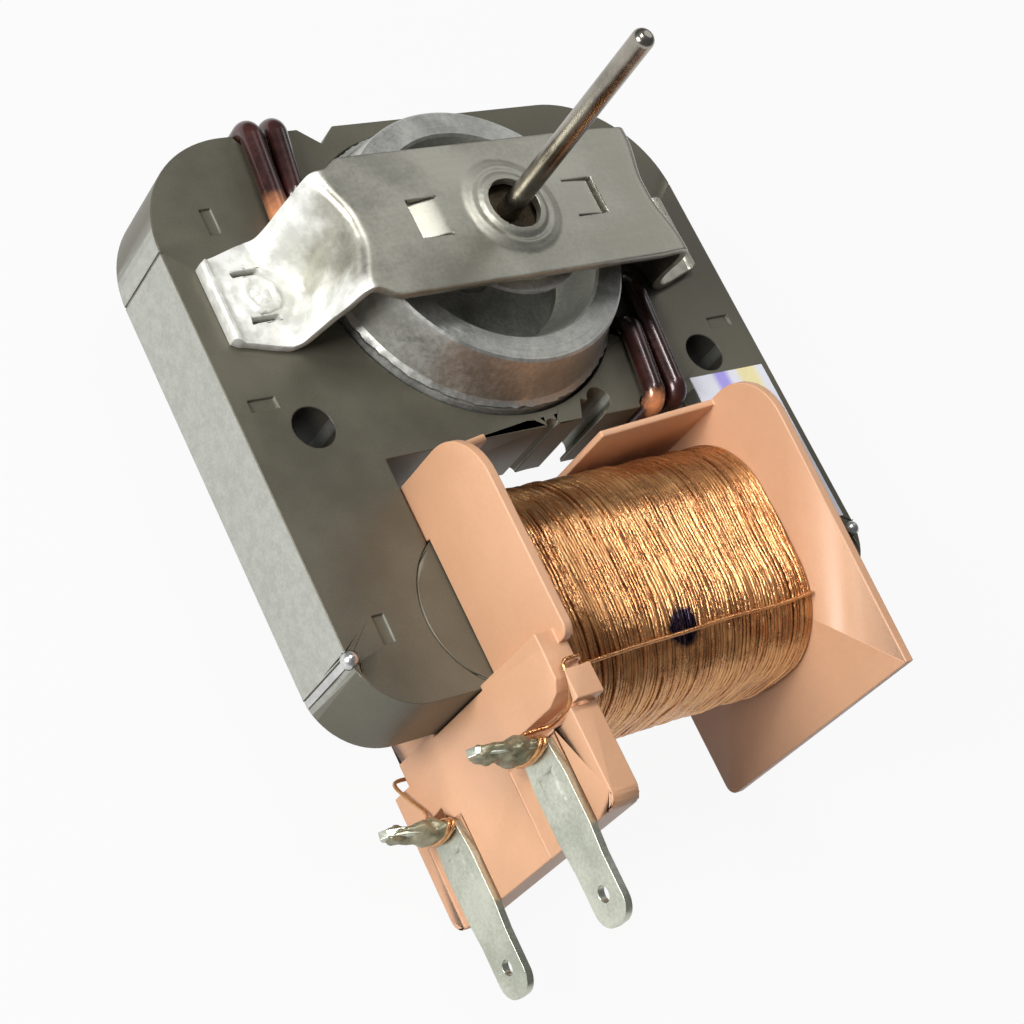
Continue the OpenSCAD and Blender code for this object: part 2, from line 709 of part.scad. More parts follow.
module bracket() {
    slot_l = 2.3;
    slot_w = 0.7;
    slot_y = 2.9;
    lip_h = 0.5;
    at_shaft() difference() {
        union() {
            lanced_tabs() difference() {
                intersection() {
                    linear_extrude(bracket_rise) bracket_plan();
                    union() {
                        bracket_solid(bracket_rise, 0, 2 * bridge_w);
                        translate([-foot_span / 2, -bridge_w, 0]) cube([foot_span, 2 * bridge_w, sheet_t]);
                    }
                }
                bracket_solid(bracket_rise - sheet_t, sheet_t, 3 * bridge_w);
            }
            // Raised boss around the shaft
            translate([0, 0, bracket_rise - 0.01]) cylinder(h = boss_h + 0.01, r1 = boss_r, r2 = boss_r - 1);
            // Lip at the outer end of each foot
            for (side = [-1, 1]) translate([side * (foot_span / 2 - 0.5) - 0.5, -foot_end_w / 2, 0])
                cube([1, foot_end_w, sheet_t + lip_h]);
        }
        // Round seat of the bush, and the hole that the shaft leaves through
        translate([0, 0, bush_mid]) sphere(bush_r + 0.05);
        cylinder(h = bracket_rise + boss_h + cut, r = boss_hole_r);
        for (side = [-1, 1]) {
            translate([side * rivet_pitch / 2, 0, -cut]) cylinder(h = sheet_t + 2 * cut, r = rivet_d / 2 + press_gap);
            for (y = [-slot_y, slot_y]) translate([side * rivet_pitch / 2 - slot_l / 2, y - slot_w / 2, -cut])
                cube([slot_l, slot_w, sheet_t + 2 * cut]);
        }
    }
}

module front_bracket() { color("#b9bab0") bracket(); }

module rear_bracket() { color("#b9bab0") behind_stack() bracket(); }

// Rivets that clamp both brackets to the stack, staked over at each end
module bracket_rivets() {
    head_r = 2.1;
    head_h = 0.5;
    color("#d2d3ca") at_shaft() for (side = [-1, 1]) translate([side * rivet_pitch / 2, 0, 0]) {
        translate([0, 0, -stack_t - sheet_t]) cylinder(h = stack_t + 2 * sheet_t, r = rivet_d / 2);
        difference() {
            translate([0, 0, sheet_t]) cylinder(h = head_h, r1 = head_r, r2 = head_r - 0.4);
            translate([0, 0, sheet_t + head_h]) sphere(0.9);
        }
        translate([0, 0, -stack_t - sheet_t - head_h]) cylinder(h = head_h, r1 = head_r - 0.4, r2 = head_r);
    }
}

// Bearings: a round bush, an oil felt around it and a spring retainer, the same at both ends

module bush() {
    at_shaft() difference() {
        intersection() {
            translate([0, 0, bush_mid]) sphere(bush_r);
            translate([0, 0, bush_start]) cylinder(h = bush_l, r = bush_r + 1);
        }
        translate([0, 0, bush_start - cut]) cylinder(h = bush_l + 2 * cut, r = shaft_r + shaft_gap);
    }
}

module felt() {
    at_shaft() difference() {
        translate([0, 0, felt_seat]) cylinder(h = felt_t, r = tab_root_x - 0.3);
        translate([0, 0, bush_mid]) sphere(bush_r + 0.2);
    }
}

module retainer() {
    at_shaft() difference() {
        translate([0, 0, retainer_seat]) cylinder(h = retainer_t, r = retainer_r);
        translate([0, 0, bush_mid]) sphere(bush_r + 0.02);
    }
}

module front_bush() { color("#6d5a3a") bush(); }

module rear_bush() { color("#6d5a3a") behind_stack() bush(); }

module front_felt() { color("#d9d3bd") felt(); }

module rear_felt() { color("#d9d3bd") behind_stack() felt(); }

module front_retainer() { color("#c9cac6") retainer(); }

module rear_retainer() { color("#c9cac6") behind_stack() retainer(); }

// Rotor

module shaft() {
    tail = -stack_t - bracket_rise - 0.2;
    round_r = 0.8;
    color("#9b9a94") at_shaft() rotate_extrude() {
        translate([0, tail]) square([shaft_r, shaft_tip - round_r - tail]);
        translate([0, tail]) square([shaft_r - round_r, shaft_tip - tail]);
        intersection() {
            translate([shaft_r - round_r, shaft_tip - round_r]) circle(round_r);
            translate([0, tail]) square([shaft_r, shaft_tip - tail]);
        }
    }
}

module bars(r) {
    for (i = [0 : bar_count - 1]) rotate(i * 360 / bar_count)
        translate([rotor_r - 0.8 - bar_d / 2, 0, 0])
            translate([0, 0, -stack_t - rotor_over]) cylinder(h = stack_t + 2 * rotor_over, r = r);
}

module rotor_core() {
    color("#4d4c48") at_shaft() difference() {
        translate([0, 0, -stack_t - rotor_over]) cylinder(h = stack_t + 2 * rotor_over, r = rotor_r);
        bars(bar_d / 2 + press_gap);
        translate([0, 0, -stack_t - rotor_over - cut])
            cylinder(h = stack_t + 2 * rotor_over + 2 * cut, r = shaft_r + press_gap);
    }
}

module end_ring() {
    root_r = rotor_r - end_ring_step;
    translate([0, 0, rotor_over]) difference() {
        cylinder(h = end_ring_h, r1 = root_r, r2 = root_r - end_ring_draft);
        translate([0, 0, -cut]) cylinder(h = end_ring_h + cut, r = hollow_floor_r);
        translate([0, 0, 1]) cylinder(h = end_ring_h, r1 = hollow_floor_r, r2 = hollow_r);
    }
}

module rotor_cage() {
    color("#a3a49c") at_shaft() {
        end_ring();
        behind_stack() end_ring();
        bars(bar_d / 2);
    }
}

module spacer() {
    at_shaft() translate([0, 0, rotor_over]) difference() {
        cylinder(h = thrust_seat - rotor_over, r = washer_r);
        translate([0, 0, -cut]) cylinder(h = bracket_rise, r = shaft_r + press_gap);
    }
}

module thrust_washer() {
    at_shaft() translate([0, 0, thrust_seat]) difference() {
        cylinder(h = washer_t, r = washer_r + 0.4);
        translate([0, 0, -cut]) cylinder(h = washer_t + 2 * cut, r = shaft_r + press_gap);
    }
}

module front_spacer() { color("#77766f") spacer(); }

module rear_spacer() { color("#77766f") behind_stack() spacer(); }

module front_thrust_washer() { color("#d8d4c4") thrust_washer(); }

module rear_thrust_washer() { color("#d8d4c4") behind_stack() thrust_washer(); }

// Label stuck to the front face, with nothing printed on it but plain colour
module rating_label() {
    color("#e9e8ee") translate([outer_x + label_gap, -label_drop - label_h, 0])
        cube([label_w, label_h, label_t]);
}

stator_core();
coil_core();
bobbin();
winding();
start_lead();
finish_lead();
front_terminal();
rear_terminal();
solder_joints();
seam_welds();
upper_outer_shading_ring();
upper_inner_shading_ring();
lower_outer_shading_ring();
lower_inner_shading_ring();
front_bracket();
rear_bracket();
bracket_rivets();
front_bush();
rear_bush();
front_felt();
rear_felt();
front_retainer();
rear_retainer();
shaft();
rotor_core();
rotor_cage();
front_spacer();
rear_spacer();
front_thrust_washer();
rear_thrust_washer();
rating_label();
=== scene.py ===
import bpy
import bmesh
import math
import random
from mathutils import Euler, Matrix, Vector, noise


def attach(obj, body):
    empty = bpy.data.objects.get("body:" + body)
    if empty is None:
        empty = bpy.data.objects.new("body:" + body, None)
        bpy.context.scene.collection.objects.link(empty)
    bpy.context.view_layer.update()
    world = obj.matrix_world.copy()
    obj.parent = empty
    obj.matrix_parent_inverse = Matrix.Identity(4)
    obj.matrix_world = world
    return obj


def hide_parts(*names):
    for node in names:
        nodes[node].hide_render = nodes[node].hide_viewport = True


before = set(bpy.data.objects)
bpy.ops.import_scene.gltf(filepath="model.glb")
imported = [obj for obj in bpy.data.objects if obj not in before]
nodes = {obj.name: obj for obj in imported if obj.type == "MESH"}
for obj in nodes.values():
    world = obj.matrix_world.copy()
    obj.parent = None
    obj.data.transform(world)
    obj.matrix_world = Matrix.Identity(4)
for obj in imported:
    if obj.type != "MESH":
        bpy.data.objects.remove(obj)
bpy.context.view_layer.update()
mm = 0.001
shaftRise = 13.8  # height of the shaft above the line through the mounting holes
stackThick = 9.5
pi = math.pi
print("frame loaded")

cameraSettings = {
    "place": (-144.28, -81.19, 171.16),
    "turn": (33.104, -27.032, -28.393),
    "lens": 86.0,
}
camData = bpy.data.cameras.new("photoCamera")
camData.lens = cameraSettings["lens"]
camData.sensor_width = 36
camData.clip_start = 0.01
camData.clip_end = 10
cam = bpy.data.objects.new("photoCamera", camData)
cam.location = Vector(cameraSettings["place"]) * mm
cam.rotation_euler = Euler([math.radians(a) for a in cameraSettings["turn"]], "XYZ")
bpy.context.scene.collection.objects.link(cam)
bpy.context.scene.camera = cam
print("camera placed")


# small helpers for node trees

def addNode(tree, kind, place=(0, 0), values=None, **settings):
    node = tree.nodes.new(kind)
    node.location = (place[0] * 200, place[1] * -200)
    for key, value in settings.items():
        setattr(node, key, value)
    for key, value in (values or {}).items():
        node.inputs[key].default_value = value
    return node


def join(tree, source, target):
    tree.links.new(source, target)


def newMaterial(name, rough=0.4, metal=0.0, colour=(0.5, 0.5, 0.5), **extra):
    mat = bpy.data.materials.new(name)
    mat.use_nodes = True
    tree = mat.node_tree
    shader = tree.nodes["Principled BSDF"]
    shader.inputs["Base Color"].default_value = (*colour, 1)
    shader.inputs["Roughness"].default_value = rough
    shader.inputs["Metallic"].default_value = metal
    for key, value in extra.items():
        shader.inputs[key].default_value = value
    return mat, tree, shader


def groupInputs(group, inputs, outputs):
    for name, kind, value in inputs:
        socket = group.interface.new_socket(name=name, in_out="INPUT", socket_type=kind)
        if value is not None:
            socket.default_value = value
    for name, kind in outputs:
        group.interface.new_socket(name=name, in_out="OUTPUT", socket_type=kind)
    entry = addNode(group, "NodeGroupInput", (-6, 0))
    leave = addNode(group, "NodeGroupOutput", (6, 0))
    return entry, leave


def placeGroup(tree, group, place=(-4, 0), values=None):
    node = addNode(tree, "ShaderNodeGroup", place)
    node.node_tree = group
    for key, value in (values or {}).items():
        node.inputs[key].default_value = value
    return node


# shader groups shared by the materials

def makeMottleGroup():
    # two sizes of cloudy variation between a dark and a light tone, with a matching height
    group = bpy.data.node_groups.new("mottle", "ShaderNodeTree")
    entry, leave = groupInputs(
        group,
        [
            ("Dark", "NodeSocketColor", (0.1, 0.1, 0.1, 1)),
            ("Light", "NodeSocketColor", (0.3, 0.3, 0.3, 1)),
            ("Cloud Size", "NodeSocketFloat", 200.0),
            ("Grain Size", "NodeSocketFloat", 3000.0),
            ("Grain Share", "NodeSocketFloat", 0.4),
            ("Rough Low", "NodeSocketFloat", 0.3),
            ("Rough High", "NodeSocketFloat", 0.5),
        ],
        [("Color", "NodeSocketColor"), ("Roughness", "NodeSocketFloat"), ("Height", "NodeSocketFloat")],
    )
    coord = addNode(group, "ShaderNodeTexCoord", (-5, 1))
    cloud = addNode(group, "ShaderNodeTexNoise", (-3, 1), {"Detail": 6.0, "Roughness": 0.6})
    grain = addNode(group, "ShaderNodeTexNoise", (-3, -1), {"Detail": 3.0, "Roughness": 0.7})
    blend = addNode(group, "ShaderNodeMix", (-1, 0), data_type="FLOAT")
    spread = addNode(
        group, "ShaderNodeMapRange", (0, 0), {"From Min": 0.36, "From Max": 0.64}, interpolation_type="SMOOTHSTEP"
    )
    tone = addNode(group, "ShaderNodeMix", (2, 0), data_type="RGBA")
    rough = addNode(group, "ShaderNodeMix", (2, -1), data_type="FLOAT")
    join(group, coord.outputs["Object"], cloud.inputs["Vector"])
    join(group, coord.outputs["Object"], grain.inputs["Vector"])
    join(group, entry.outputs["Cloud Size"], cloud.inputs["Scale"])
    join(group, entry.outputs["Grain Size"], grain.inputs["Scale"])
    join(group, entry.outputs["Grain Share"], blend.inputs["Factor"])
    join(group, cloud.outputs["Fac"], blend.inputs["A"])
    join(group, grain.outputs["Fac"], blend.inputs["B"])
    join(group, blend.outputs["Result"], spread.inputs["Value"])
    join(group, spread.outputs["Result"], tone.inputs["Factor"])
    join(group, entry.outputs["Dark"], tone.inputs["A"])
    join(group, entry.outputs["Light"], tone.inputs["B"])
    join(group, spread.outputs["Result"], rough.inputs["Factor"])
    join(group, entry.outputs["Rough Low"], rough.inputs["A"])
    join(group, entry.outputs["Rough High"], rough.inputs["B"])
    join(group, tone.outputs["Result"], leave.inputs["Color"])
    join(group, rough.outputs["Result"], leave.inputs["Roughness"])
    join(group, blend.outputs["Result"], leave.inputs["Height"])
    return group


def makeDrawLinesGroup():
    # fine parallel marks of rolling or turning, stretched along one direction
    group = bpy.data.node_groups.new("drawLines", "ShaderNodeTree")
    entry, leave = groupInputs(
        group,
        [
            ("Stretch", "NodeSocketVector", (60.0, 3000.0, 3000.0)),
            ("Strength", "NodeSocketFloat", 0.5),
        ],
        [("Mask", "NodeSocketFloat"), ("Height", "NodeSocketFloat")],
    )
    coord = addNode(group, "ShaderNodeTexCoord", (-5, 0))
    scaled = addNode(group, "ShaderNodeVectorMath", (-4, 0), operation="MULTIPLY")
    lines = addNode(group, "ShaderNodeTexNoise", (-2, 0), {"Scale": 1.0, "Detail": 4.0, "Roughness": 0.65})
    centred = addNode(group, "ShaderNodeMath", (0, 0), {1: 0.5}, operation="SUBTRACT")
    strong = addNode(group, "ShaderNodeMath", (1, 0), operation="MULTIPLY")
    back = addNode(group, "ShaderNodeMath", (2, 0), {1: 0.5}, operation="ADD", use_clamp=True)
    join(group, coord.outputs["Object"], scaled.inputs[0])
    join(group, entry.outputs["Stretch"], scaled.inputs[1])
    join(group, scaled.outputs["Vector"], lines.inputs["Vector"])
    join(group, lines.outputs["Fac"], centred.inputs[0])
    join(group, centred.outputs["Value"], strong.inputs[0])
    join(group, entry.outputs["Strength"], strong.inputs[1])
    join(group, strong.outputs["Value"], back.inputs[0])
    join(group, back.outputs["Value"], leave.inputs["Mask"])
    join(group, back.outputs["Value"], leave.inputs["Height"])
    return group


def makeSideMaskGroup():
    # 1 where the surface looks along the given direction, 0 elsewhere, in the object's own frame
    group = bpy.data.node_groups.new("sideMask", "ShaderNodeTree")
    entry, leave = groupInputs(
        group,
        [
            ("Direction", "NodeSocketVector", (1.0, 0.0, 0.0)),
            ("From", "NodeSocketFloat", 0.6),
            ("To", "NodeSocketFloat", 0.95),
        ],
        [("Mask", "NodeSocketFloat")],
    )
    coord = addNode(group, "ShaderNodeTexCoord", (-5, 0))
    along = addNode(group, "ShaderNodeVectorMath", (-3, 0), operation="DOT_PRODUCT")
    size = addNode(group, "ShaderNodeMath", (-2, 0), operation="ABSOLUTE")
    ramp = addNode(group, "ShaderNodeMapRange", (0, 0), interpolation_type="SMOOTHSTEP")
    join(group, coord.outputs["Normal"], along.inputs[0])
    join(group, entry.outputs["Direction"], along.inputs[1])
    join(group, along.outputs["Value"], size.inputs[0])
    join(group, size.outputs["Value"], ramp.inputs["Value"])
    join(group, entry.outputs["From"], ramp.inputs["From Min"])
    join(group, entry.outputs["To"], ramp.inputs["From Max"])
    join(group, ramp.outputs["Result"], leave.inputs["Mask"])
    return group


def makeNearMaskGroup():
    # 1 near a point of the object, fading out to 0 at the given reach
    group = bpy.data.node_groups.new("nearMask", "ShaderNodeTree")
    entry, leave = groupInputs(
        group,
        [
            ("Point", "NodeSocketVector", (0.0, 0.0, 0.0)),
            ("Squash", "NodeSocketVector", (1.0, 1.0, 1.0)),
            ("Inner", "NodeSocketFloat", 0.001),
            ("Outer", "NodeSocketFloat", 0.004),
            ("Ragged", "NodeSocketFloat", 0.0),
        ],
        [("Mask", "NodeSocketFloat")],
    )
    coord = addNode(group, "ShaderNodeTexCoord", (-5, 0))
    away = addNode(group, "ShaderNodeVectorMath", (-4, 0), operation="SUBTRACT")
    squashed = addNode(group, "ShaderNodeVectorMath", (-3, 0), operation="MULTIPLY")
    length = addNode(group, "ShaderNodeVectorMath", (-2, 0), operation="LENGTH")
    rag = addNode(group, "ShaderNodeTexNoise", (-3, -1), {"Scale": 1500.0, "Detail": 4.0})
    ragged = addNode(group, "ShaderNodeMath", (-2, -1), {1: 0.5}, operation="SUBTRACT")
    raggedSize = addNode(group, "ShaderNodeMath", (-1, -1), operation="MULTIPLY")
    moved = addNode(group, "ShaderNodeMath", (0, 0), operation="ADD")
    ramp = addNode(group, "ShaderNodeMapRange", (2, 0), {"To Min": 1.0, "To Max": 0.0})
    join(group, coord.outputs["Object"], away.inputs[0])
    join(group, entry.outputs["Point"], away.inputs[1])
    join(group, away.outputs["Vector"], squashed.inputs[0])
    join(group, entry.outputs["Squash"], squashed.inputs[1])
    join(group, squashed.outputs["Vector"], length.inputs[0])
    join(group, coord.outputs["Object"], rag.inputs["Vector"])
    join(group, rag.outputs["Fac"], ragged.inputs[0])
    join(group, ragged.outputs["Value"], raggedSize.inputs[0])
    join(group, entry.outputs["Ragged"], raggedSize.inputs[1])
    join(group, length.outputs["Value"], moved.inputs[0])
    join(group, raggedSize.outputs["Value"], moved.inputs[1])
    join(group, moved.outputs["Value"], ramp.inputs["Value"])
    join(group, entry.outputs["Inner"], ramp.inputs["From Min"])
    join(group, entry.outputs["Outer"], ramp.inputs["From Max"])
    join(group, ramp.outputs["Result"], leave.inputs["Mask"])
    return group


mottleGroup = makeMottleGroup()
drawLinesGroup = makeDrawLinesGroup()
sideMaskGroup = makeSideMaskGroup()
nearMaskGroup = makeNearMaskGroup()


def bumpFrom(tree, shader, height, strength, distance, place=(-1, 3)):
    bump = addNode(tree, "ShaderNodeBump", place, {"Strength": strength, "Distance": distance})
    join(tree, height, bump.inputs["Height"])
    join(tree, bump.outputs["Normal"], shader.inputs["Normal"])
    return bump


def mixColours(tree, factor, first, second, place=(-1, 0)):
    mix = addNode(tree, "ShaderNodeMix", place, data_type="RGBA")
    for socket, value in ((mix.inputs["Factor"], factor), (mix.inputs["A"], first), (mix.inputs["B"], second)):
        if isinstance(value, (int, float)):
            socket.default_value = value
        elif isinstance(value, tuple):
            socket.default_value = (*value, 1)
        else:
            join(tree, value, socket)
    return mix.outputs["Result"]


def mottledMaterial(name, look):
    mat, tree, shader = newMaterial(name, metal=look.get("metal", 0.0), **look.get("extra", {}))
    mottle = placeGroup(
        tree,
        mottleGroup,
        (-4, 0),
        {
            "Dark": (*look["dark"], 1),
            "Light": (*look["light"], 1),
            "Cloud Size": look.get("cloud", 200.0),
            "Grain Size": look.get("grain", 3000.0),
            "Grain Share": look.get("share", 0.4),
            "Rough Low": look["rough"][0],
            "Rough High": look["rough"][1],
        },
    )
    join(tree, mottle.outputs["Color"], shader.inputs["Base Color"])
    join(tree, mottle.outputs["Roughness"], shader.inputs["Roughness"])
    bumpFrom(tree, shader, mottle.outputs["Height"], look.get("bump", 0.2), look.get("bumpDepth", 0.0001))
    return mat, tree, shader, mottle


# the finishes

stackLook = {
    "face": {"dark": (0.11, 0.101, 0.073), "light": (0.155, 0.144, 0.108), "rough": (0.38, 0.52), "metal": 0.45,
             "cloud": 60.0, "grain": 4500.0, "share": 0.25, "bump": 0.15, "bumpDepth": 0.00005},
    # paler tones painted on the sides square to X, standing in for the light from the left
    "paintedSideLightDark": (0.36, 0.365, 0.325),
    "paintedSideLightBright": (0.45, 0.455, 0.41),
    "holes": ((-24.2, 0.0), (24.2, 0.0)),
}


def makeStackMaterial():
    mat, tree, shader, mottle = mottledMaterial("varnishedLaminations", stackLook["face"])
    # painted light: the flat sides square to X get a paler mottle than the front and back faces, standing in for the
    # lamp light falling on the left side
    side = placeGroup(tree, sideMaskGroup, (-4, 2), {"Direction": (1, 0, 0), "From": 0.93, "To": 0.995})
    paintedSideLightMottle = placeGroup(
        tree,
        mottleGroup,
        (-4, 4),
        {
            "Dark": (*stackLook["paintedSideLightDark"], 1),
            "Light": (*stackLook["paintedSideLightBright"], 1),
            "Cloud Size": 900.0,
            "Grain Size": 3500.0,
            "Grain Share": 0.5,
        },
    )
    colour = mixColours(tree, side.outputs["Mask"], mottle.outputs["Color"], paintedSideLightMottle.outputs["Color"])
    # painted shade: near-black colour on the walls and edges of the mounting holes
    for number, (x, y) in enumerate(stackLook["holes"]):
        holeShadeMask = placeGroup(
            tree,
            nearMaskGroup,
            (-4, 6 + number),
            {"Point": (x * mm, y * mm, 0), "Squash": (1, 1, 0), "Inner": 0.0021, "Outer": 0.0023},
        )
        colour = mixColours(tree, holeShadeMask.outputs["Mask"], colour, (0.012, 0.011, 0.009), (0, 2 + number))
    join(tree, colour, shader.inputs["Base Color"])
    return mat


plasticLook = {"dark": (0.61, 0.335, 0.19), "light": (0.68, 0.385, 0.23), "rough": (0.36, 0.48), "cloud": 45.0,
               "grain": 2500.0, "share": 0.2, "bump": 0.12, "bumpDepth": 0.00004,
               "extra": {"Specular IOR Level": 0.45, "Subsurface Weight": 0.08, "Subsurface Radius": (0.002, 0.001, 0.0006)}}

zincLook = {"dark": (0.42, 0.41, 0.35), "light": (0.63, 0.615, 0.54), "rough": (0.36, 0.5), "metal": 0.95,
            "cloud": 90.0, "grain": 2200.0, "share": 0.25, "bump": 0.2, "bumpDepth": 0.00006}

castLook = {"dark": (0.4, 0.4, 0.37), "light": (0.62, 0.62, 0.575), "rough": (0.34, 0.52), "metal": 0.85,
            "cloud": 160.0, "grain": 1800.0, "share": 0.4, "bump": 0.35, "bumpDepth": 0.00015}

tinLook = {"dark": (0.42, 0.44, 0.36), "light": (0.66, 0.68, 0.57), "rough": (0.28, 0.42), "metal": 0.85,
           "cloud": 150.0, "grain": 2600.0, "share": 0.35, "bump": 0.15, "bumpDepth": 0.00005}

solderLook = {"dark": (0.13, 0.115, 0.065), "light": (0.36, 0.335, 0.225), "rough": (0.26, 0.5), "metal": 0.5,
              "cloud": 400.0, "grain": 1800.0, "share": 0.3, "bump": 0.3, "bumpDepth": 0.0003}

ringLook = {"dark": (0.018, 0.006, 0.005), "light": (0.055, 0.014, 0.011), "rough": (0.24, 0.36), "metal": 0.3,
            "cloud": 260.0, "grain": 1500.0, "share": 0.2, "bump": 0.12, "bumpDepth": 0.0001,
            "copperPatch": ((-18.9, 20.6, 1.5, 4.0), (13.9, -5.9, 1.5, 2.4)), "copper": (0.75, 0.3, 0.13),
            "extra": {"Coat Weight": 0.6, "Coat Roughness": 0.12}}

steelLook = {"dark": (0.22, 0.2, 0.17), "light": (0.4, 0.37, 0.32), "rough": (0.16, 0.28), "metal": 1.0,
             "cloud": 120.0, "grain": 900.0, "share": 0.2, "bump": 0.04, "bumpDepth": 0.00004}

rotorLook = {"dark": (0.3, 0.3, 0.275), "light": (0.55, 0.55, 0.51), "rough": (0.35, 0.55), "metal": 0.5,
             "cloud": 240.0, "grain": 2400.0, "share": 0.4, "bump": 0.3, "bumpDepth": 0.0001}

bronzeLook = {"dark": (0.03, 0.022, 0.012), "light": (0.1, 0.075, 0.045), "rough": (0.45, 0.65), "metal": 0.7,
              "cloud": 600.0, "grain": 4000.0, "share": 0.5, "bump": 0.4, "bumpDepth": 0.0001}

feltLook = {"dark": (0.42, 0.38, 0.27), "light": (0.75, 0.71, 0.58), "rough": (0.85, 1.0), "cloud": 900.0,
            "grain": 4000.0, "share": 0.6, "bump": 0.9, "bumpDepth": 0.0003}

springLook = {"dark": (0.5, 0.5, 0.49), "light": (0.75, 0.75, 0.73), "rough": (0.25, 0.4), "metal": 0.9,
              "cloud": 200.0, "grain": 2600.0, "share": 0.3, "bump": 0.1, "bumpDepth": 0.00004}

washerLook = {"dark": (0.6, 0.57, 0.47), "light": (0.8, 0.78, 0.68), "rough": (0.4, 0.55), "cloud": 400.0,
              "grain": 3000.0, "share": 0.3, "bump": 0.1, "bumpDepth": 0.00004}


# a painted highlight on the left foot of each bracket: where it begins and ends along -X, its pale tones, roughness and
# metal; ringFrom and ringTo set the pressed rings round the boss
leftHighlightAndRingLook = {
    "from": 18.6,
    "to": 20.6,
    "colour": (0.92, 0.92, 0.87),
    "shadow": (0.6, 0.6, 0.55),
    "rough": 0.42,
    "metal": 0.28,
    "ringFrom": 5.8,
    "ringTo": 2.8,
}


def makeRingMaterial():
    # copper-coloured patches with ragged edges near the lower ends of the rings
    mat, tree, shader, mottle = mottledMaterial("lacqueredCopper", ringLook)
    colour = mottle.outputs["Color"]
    for number, (x, y, z, reach) in enumerate(ringLook["copperPatch"]):
        copperPatch = placeGroup(
            tree,
            nearMaskGroup,
            (-4, 3 + number),
            {"Point": (x * mm, y * mm, z * mm), "Inner": 0.0008, "Outer": reach * mm, "Ragged": 0.0016},
        )
        colour = mixColours(tree, copperPatch.outputs["Mask"], colour, ringLook["copper"], (-1, 1 + number))
    join(tree, colour, shader.inputs["Base Color"])
    return mat


